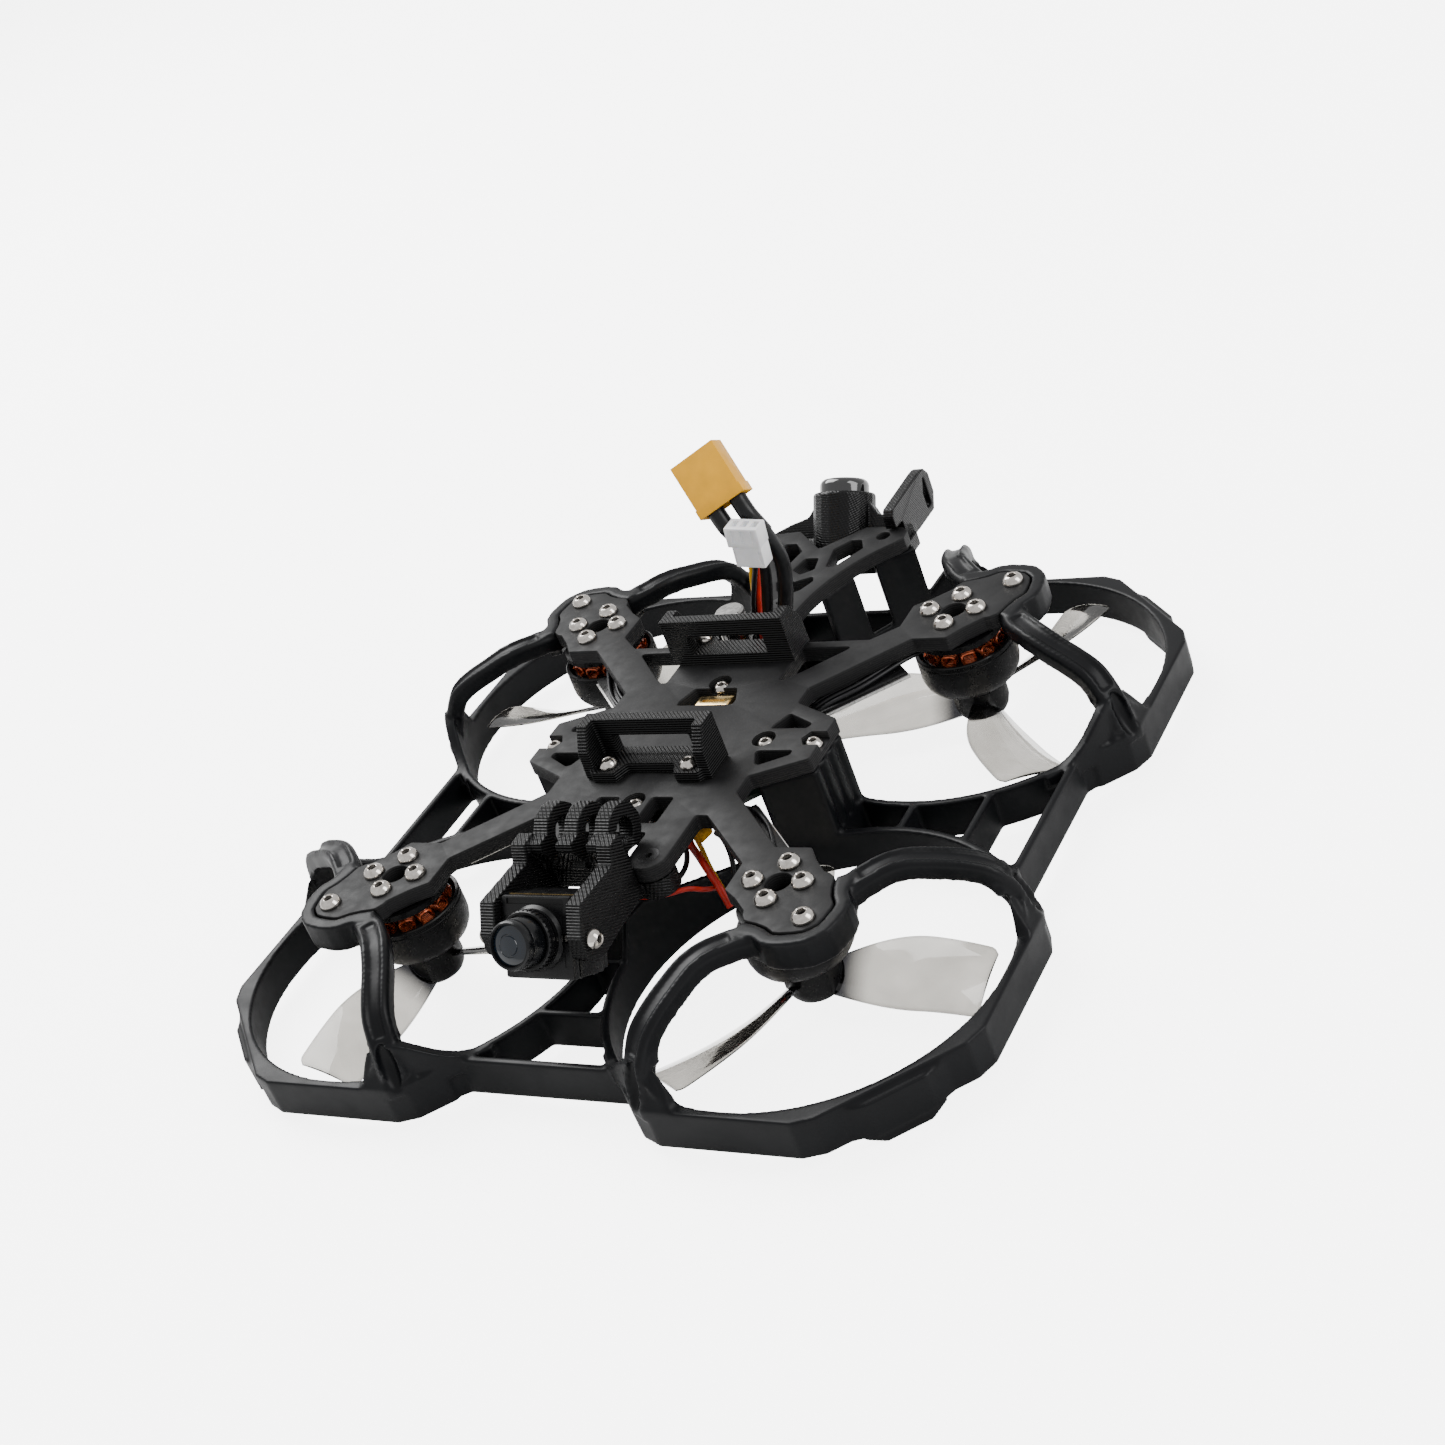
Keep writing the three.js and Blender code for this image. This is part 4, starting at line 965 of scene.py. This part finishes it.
HUB_PROFILE = [
    (0, 4.3), (1.1, 4.3), (1.2, 4.1), (3.5, 4.1), (4.2, 4.4), (4.75, 5.2), (5.2, 6.6), (5.2, 10.2),
    (4.9, 10.55), (0, 10.55)]
PROP_TURNS = {"front_right": 0, "front_left": 22, "rear_right": -51, "rear_left": -175}
BLADE_HEIGHT = 6.75
ROOT_RADIUS = 3.4
TIP_RADIUS = 31.75
BLADE_ROWS = 44
BLADE_COLUMNS = 14


def coil(turn, radius, height):
    """One tooth's winding: a wire wound round a radial axis."""
    points = []
    for i in range(COIL_TURNS * COIL_STEPS + 1):
        angle = 2 * math.pi * i / COIL_STEPS
        out = radius + 3.0 * i / (COIL_TURNS * COIL_STEPS)
        u = 1.25 * math.copysign(abs(math.cos(angle)) ** 0.6, math.cos(angle))
        v = 1.0 * math.copysign(abs(math.sin(angle)) ** 0.6, math.sin(angle))
        points.append(Vector((out * MM, u * MM, (height + v) * MM)))
    spun = Matrix.Rotation(turn, 4, "Z")
    return swept([spun @ point for point in points], circle(0, 0, 0.27 * MM, 6))


def make_motors():
    """The four motors, in heights over the floor, each with its propeller below it."""
    coils = joined([coil(2 * math.pi * i / TEETH, 4.6, 19.9) for i in range(TEETH)], 50)
    core = lathe(CORE_PROFILE, 48)
    for corner in CORNERS:
        placed = Matrix.Translation((*MOTOR_AXES[corner], 0))
        base = lathe(BASE_PROFILE, 64, placed)
        new_object(f"motor_base_{corner}", base, bell_black, f"motor_stator_{corner}")
        for name, mesh, look in (("motor_coils", coils, copper), ("motor_core", core, laminations)):
            moved = mesh.copy()
            moved.transform(placed)
            new_object(f"{name}_{corner}", moved, look)
        node = f"motor_bell_{corner}"
        bell = lathe(BELL_PROFILE, 96, placed, 28)
        new_object(f"{node}_shell", bell, bell_black, node, f"rotor_{corner}")
        make_propeller(corner)


def blade_point(u, v, side, spin):
    """A point of the blade: u from hub to tip, v across the chord, side 1 above and -1 below."""
    radius = ROOT_RADIUS + (TIP_RADIUS - ROOT_RADIUS) * u
    corner = max(0.0, (u - 0.93) / 0.07)
    chord = (6 + 7.2 * math.sin(min(u * 1.7, 1) * math.pi / 2)) * (1 - 0.16 * corner ** 3)
    pitch = math.radians(38 - 24 * u)
    sweep = 1.6 * math.sin(math.pi * u)
    across = (v - 0.5) * chord
    crown = 1 - 4 * (v - 0.5) ** 2
    rise = 0.62 * crown + side * 0.5 * (0.95 - 0.5 * u) * max(0.16, crown) ** 0.5
    y = sweep + across * math.cos(pitch) - rise * math.sin(pitch)
    return Vector((radius, y * spin, across * math.sin(pitch) + rise * math.cos(pitch))) * MM


def blade_mesh(spin):
    """One blade of two skins; its depth attribute is higher near the hub, where the blade is thicker, and
    along its edges, as painted shade.
    """
    bm = bmesh.new()
    layer = bm.verts.layers.float.new("depth")
    grids = []
    for side in (1, -1):
        grid = []
        for i in range(BLADE_ROWS + 1):
            u = i / BLADE_ROWS
            line = []
            for j in range(BLADE_COLUMNS + 1):
                v = 0.5 - 0.5 * math.cos(math.pi * j / BLADE_COLUMNS)
                vert = bm.verts.new(blade_point(u, v, side, spin))
                # The rim term is painted shade along the leading and trailing edges and the tip.
                rim = max(0.0, 1 - min(v, 1 - v) * 22) * 0.35 + max(0.0, (u - 0.975) / 0.025) * 0.3
                vert[layer] = min(1.0, max(0.0, (0.24 - u) / 0.16) + rim)
                line.append(vert)
            grid.append(line)
        grids.append(grid)
    upper, lower = grids
    for grid in grids:
        for a, b in zip(grid, grid[1:]):
            for j in range(BLADE_COLUMNS):
                bm.faces.new((a[j], a[j + 1], b[j + 1], b[j]))
    edges = [[(above[j], below[j]) for above, below in zip(upper, lower)] for j in (0, -1)]
    ends = [list(zip(upper[i], lower[i])) for i in (-1, 0)]
    for pairs in edges + ends:
        for (a, b), (c, d) in zip(pairs, pairs[1:]):
            bm.faces.new((a, c, d, b))
    return mesh_of(bm, 50)


def make_propeller(corner):
    side, end = CORNERS[corner]
    blades = []
    axis = Matrix.Translation((*MOTOR_AXES[corner], BLADE_HEIGHT * MM))
    for i in range(3):
        mesh = blade_mesh(-side * end)
        mesh.transform(axis @ turned(PROP_TURNS[corner] + 120 * i, "Z"))
        blades.append(mesh)
    hub = lathe(HUB_PROFILE, 64, Matrix.Translation((*MOTOR_AXES[corner], 0)))
    body = f"rotor_{corner}"
    node = f"propeller_{corner}"
    new_object(f"hub_{corner}", hub, bell_black, body=body)
    new_object(f"{node}_blades", joined(blades, 50), smoke, node, body)


# ---------------------------------------------------------------- nose camera

BARREL_PROFILE = [
    (0, -3.4), (3.5, -3.4), (3.5, 3.0), (4.05, 3.1), (4.25, 3.4), (4.25, 6.2), (4.18, 6.35), (4.25, 6.5),
    (4.25, 7.2), (4.1, 7.7), (3.85, 7.95), (3.6, 7.95), (3.5, 7.7), (3.45, 7.2), (0, 7.2)]
GLASS_PROFILE = [
    (0, 6.9), (3.4, 6.9), (3.4, 7.42), (2.9, 7.6), (2.0, 7.78), (1.92, 7.68), (1.68, 7.7), (1.6, 7.84),
    (0.9, 7.95), (0, 8.0)]
RING_PROFILE = [
    (3.9, 1.9), (5.1, 1.9), (5.15, 2.1), (5.15, 3.2), (4.9, 3.5), (4.55, 3.5), (4.5, 2.75), (3.9, 2.75),
    (3.9, 1.9)]
KNURLS = 36


def make_nose_camera():
    """The case, the lens and its lock ring, drawn along the lens, which points along z."""
    placed = CAMERA_FRAME
    case = block((14, 14, 7.0), (0, 0, -5.5), placed, 0.45)
    front = block((14, 14, 2.0), (0, 0, -1.0), placed, 0.5)
    back = block((13.2, 13.2, 2.0), (0, 0, -9.6), placed, 0.3)
    collar = lathe([(0, -0.5), (5.6, -0.5), (5.6, 0.3), (5.1, 0.9), (5.1, 1.6), (0, 1.6)], 64, placed)
    recesses = [block((11.6, 1.0, 0.9), (0, 6.1, 0.2), placed)]
    recesses += [block((1.0, 8.5, 0.7), (x, -0.6, 0.25), placed) for x in (5.9, -5.9)]
    bore = lathe([(0, -4), (3.9, -4), (3.9, 4), (0, 4)], 48, placed)
    cross = placed @ Matrix.Translation((0, 0, -LENS_LIFT)) @ turned(90, "Y")
    screw_holes = lathe([(0, -9), (1.2, -9), (1.2, 9), (0, 9)], 24, cross)
    screw_holes = cut(screw_holes, [block((9.4, 9.4, 8), (0, 0, -3), placed)])
    body = cut(combined(case, [front, back, collar]), [*recesses, bore, screw_holes])
    seam = block((13.3, 0.12, 0.35), (0, 7.0, -2.2), placed)
    knurls = [block((0.35, 0.32, 1.5), (5.2, 0, 2.7), placed @ turned(360 * i / KNURLS, "Z"))
              for i in range(KNURLS)]
    ring = cut(lathe(RING_PROFILE, 72, placed, 28), [joined(knurls)])
    barrel = lathe(BARREL_PROFILE, 72, placed, 28)
    glass = lathe(GLASS_PROFILE, 64, placed, 20)
    new_object("camera_case", body, case_black, "camera_body", "camera")
    new_object("camera_seam_strip", seam, gold, body="camera")
    new_object("camera_lens_barrel", barrel, barrel_black, "camera_lens", "camera")
    new_object("camera_lens_glass", glass, lens_blue, body="camera")
    new_object("lens_ring_knurled", ring, case_black, "lens_lock_ring", "camera")


# ---------------------------------------------------------------- antenna cap, strips and electronics

def make_antenna_cap():
    placed = Matrix.Translation(at(0, 74.8, 22.6)) @ turned(-37, "X")
    profile = [(0, 3.4), (5, 3.4), (5, 10.4), (4.9, 10.9), (4.6, 11.4), (4.1, 11.75), (3.5, 11.88), (0, 11.9)]
    cap = lathe(profile, 72, placed, 40)
    new_object("antenna_cap_dome", cap, cap_black, "antenna_cap")


def make_light_strips():
    for corner, (side, end) in CORNERS.items():
        node = f"light_strip_{corner}"
        placed = Matrix.Translation(middle(node)) @ turned(side * end * 45, "Z")
        tray = block((18.4, 4.2, 0.86), (0, 0, 0.22), placed, 0.2)
        new_object(f"{node}_tray", tray, case_black)
        edge = block((19, 4.8, 0.5), (0, 0, -0.44), placed, 0.06)
        new_object(f"{node}_board", edge, bright_tin, node)


BOARD_HALF, BOARD_CORNER = 20.5, 3.2
BOARD_TOP = 19.5
CHIP_SIZES = [(1.0, 0.5, 0.5), (1.6, 0.8, 0.6), (2.2, 2.2, 0.8), (3, 3, 0.9), (4.2, 4.2, 0.9)]
POST_PROFILE = [(1.1, 17), (2.1, 17), (2.1, 23.1), (1.1, 23.1), (1.1, 17)]
CAN_PROFILE = [
    (0, 0), (2.7, 0), (2.95, 0.3), (2.95, 12.2), (2.7, 12.5), (2.95, 12.8), (2.95, 13.5), (2.6, 13.9),
    (0, 14)]


def make_control_board():
    """Two boards on four posts; chips are scattered on the upper one, but not under the USB port."""
    seeded = random.Random(11)
    half, corner = BOARD_HALF, BOARD_CORNER
    octagon = [(half, -corner), (half, corner), (corner, half), (-corner, half),
               (-half, corner), (-half, -corner), (-corner, -half), (corner, -half)]
    placed = Matrix.Translation((0, HUB_Y, 0))
    boards = [prism(octagon, BOARD_TOP - 1, BOARD_TOP, placed, 0.12)]
    boards.append(block((18, 18, 0.9), (0, 0, 17.2), placed, 0.12))
    posts = [lathe(POST_PROFILE, 32, Matrix.Translation(at(x, y, 0))) for x, y in STACK_SCREWS]
    chips, metal = [], []
    for _ in range(70):
        x, y = seeded.uniform(-17, 17), seeded.uniform(-17, 17)
        if abs(x) + abs(y) > 19 or (abs(x) < 6.4 and y > 8):
            continue
        size = seeded.choice(CHIP_SIZES)
        chip = block(size, (x, y, BOARD_TOP + size[2] / 2), placed, 0.08)
        (metal if size[0] < 2 and seeded.random() < 0.2 else chips).append(chip)
    new_object("control_board", joined(boards), board_green, "flight_controller")
    new_object("stack_posts", joined(posts), tin)
    new_object("board_chips", joined(chips), chip_black)
    new_object("board_metal_parts", joined(metal), tin)


def make_usb_port():
    low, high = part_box("usb_port")
    high.z += 1.1 * MM
    size, centre = (high - low) / MM, (high + low) / 2 / MM
    mouth = block((size.x - 1.3, 2.4, 1.7), (centre.x, centre.y - 1.6, centre.z + 1.15), chamfer=0.2)
    groove = block((size.x - 2.6, 0.7, 0.6), (centre.x, centre.y - 0.1, centre.z + size.z / 2))
    shell = cut(block(size, centre, chamfer=0.45), [mouth, groove])
    tongue = block((size.x - 2.4, 1.6, 0.6), (centre.x, centre.y - 0.9, centre.z + 1.3))
    new_object("usb_shell", shell, gold, "usb_port")
    new_object("usb_tongue", tongue, chip_black)


def make_capacitor():
    place = middle("capacitor")
    place.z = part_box("capacitor")[0].z
    can = lathe(CAN_PROFILE, 48, Matrix.Translation(place))
    new_object("capacitor_can", can, tin, "capacitor")


MOTOR_WIRE_ROUTE = [
    (34.2, 34.0, 22.3), (31.5, 29.6, 22.85), (26.6, 21.8, 22.85), (21.5, 16.8, 22.5), (16.6, 13, 20.4),
    (12, 10, 19.0)]
MOTOR_WIRE_RADIUS = 0.4 * MM
MOTOR_WIRE_SPACING = 1.05
WIRE_ROUTES = {
    "loose_wire_red": (red_wire, 0.7, [
        (6, -15, 17), (10.1, -20.4, 18.6), (14.2, -24.5, 19), (16.4, -26.6, 18.4), (18.5, -28.0, 15.5),
        (20, -29, 12)]),
    "loose_wire_thin_red": (red_wire, 0.45, [
        (5, -36, 19.4), (9.0, -35.3, 19), (12.3, -34.6, 19), (15.7, -32.7, 18.8), (17.5, -30.5, 17),
        (17, -27, 14.5)]),
    "loose_wire_yellow": (yellow_wire, 0.45, [
        (9, -17, 17.2), (12.5, -21, 18.2), (15.5, -24.5, 17), (17.5, -26, 13)]),
    "loose_wire_black": (black_wire, 0.5, [
        (7, -18, 17.5), (10.8, -23.5, 18.4), (12.6, -28, 18.9), (12.2, -33, 18.8)]),
    "loose_wire_long_black": (black_wire, 0.5, [
        (12, -15, 17), (16.5, -19.5, 19.4), (19.5, -23, 18.4), (20.5, -26, 14)]),
}


def make_motor_wires():
    """Three wires from each motor's base to the control board, between the arm and the light strip."""
    for corner, (side, end) in CORNERS.items():
        for i in (1, 2, 3):
            shift = (i - 2) * MOTOR_WIRE_SPACING
            points = [at(side * (x + shift), end * (y - shift), z) for x, y, z in MOTOR_WIRE_ROUTE]
            route = smooth_route(points)
            new_wire(f"motor_wire_{corner}_{i}", route, MOTOR_WIRE_RADIUS, black_wire)


def make_loose_wires():
    """The wires and the small part seen through the plate's front right cut-out."""
    for name, (look, radius, points) in WIRE_ROUTES.items():
        route = smooth_route([at(*point) for point in points])
        new_wire(name, route, radius * MM, look)
    can = lathe([(0, 0), (1.1, 0), (1.3, 0.2), (1.3, 3.0), (1.1, 3.2), (0, 3.2)], 40)
    can.transform(Matrix.Translation(at(12.6, -17.8, 20.2)) @ turned(80, "X"))
    new_object("small_capacitor", can, yellow_nylon)


# ---------------------------------------------------------------- floor, lights and assembly

def make_studio():
    """A floor that glows like white paper; its glow reaches only itself and the clear blades."""
    bpy.ops.mesh.primitive_plane_add(size=8)
    floor = bpy.context.object
    floor.name = "floor"
    look = Look("floor_paper")
    tone = look.ramp(look.noise(60, 3), (0.86, 0.86, 0.86), (0.90, 0.90, 0.90))
    look.set(Base_Color=tone, Roughness=0.7, Emission_Color=(1, 1, 1, 1), Emission_Strength=5.0)
    floor.data.materials.append(look.material)
    lit = bpy.data.collections.new("lit_by_floor")
    for name in ("floor", *(f"propeller_{corner}_blades" for corner in CORNERS)):
        lit.objects.link(bpy.data.objects[name])
    floor.light_linking.receiver_collection = lit
    world = bpy.data.worlds.new("studio")
    bpy.context.scene.world = world
    world.use_nodes = True
    background = world.node_tree.nodes["Background"]
    background.inputs["Color"].default_value = (1, 1, 1, 1)
    background.inputs["Strength"].default_value = 0.8
    area_light("key", (-0.6, 0.30, 0.75), (0.6, 0.8), 13)
    area_light("fill", (0.85, 0.1, 0.6), (0.5, 0.8), 6)


make_camera()
make_power_leads()
make_balance_lead()
make_plates()
make_guard()
make_prints()
make_screws()
make_motors()
make_nose_camera()
make_antenna_cap()
make_light_strips()
make_control_board()
make_usb_port()
make_capacitor()
make_motor_wires()
make_loose_wires()
make_studio()
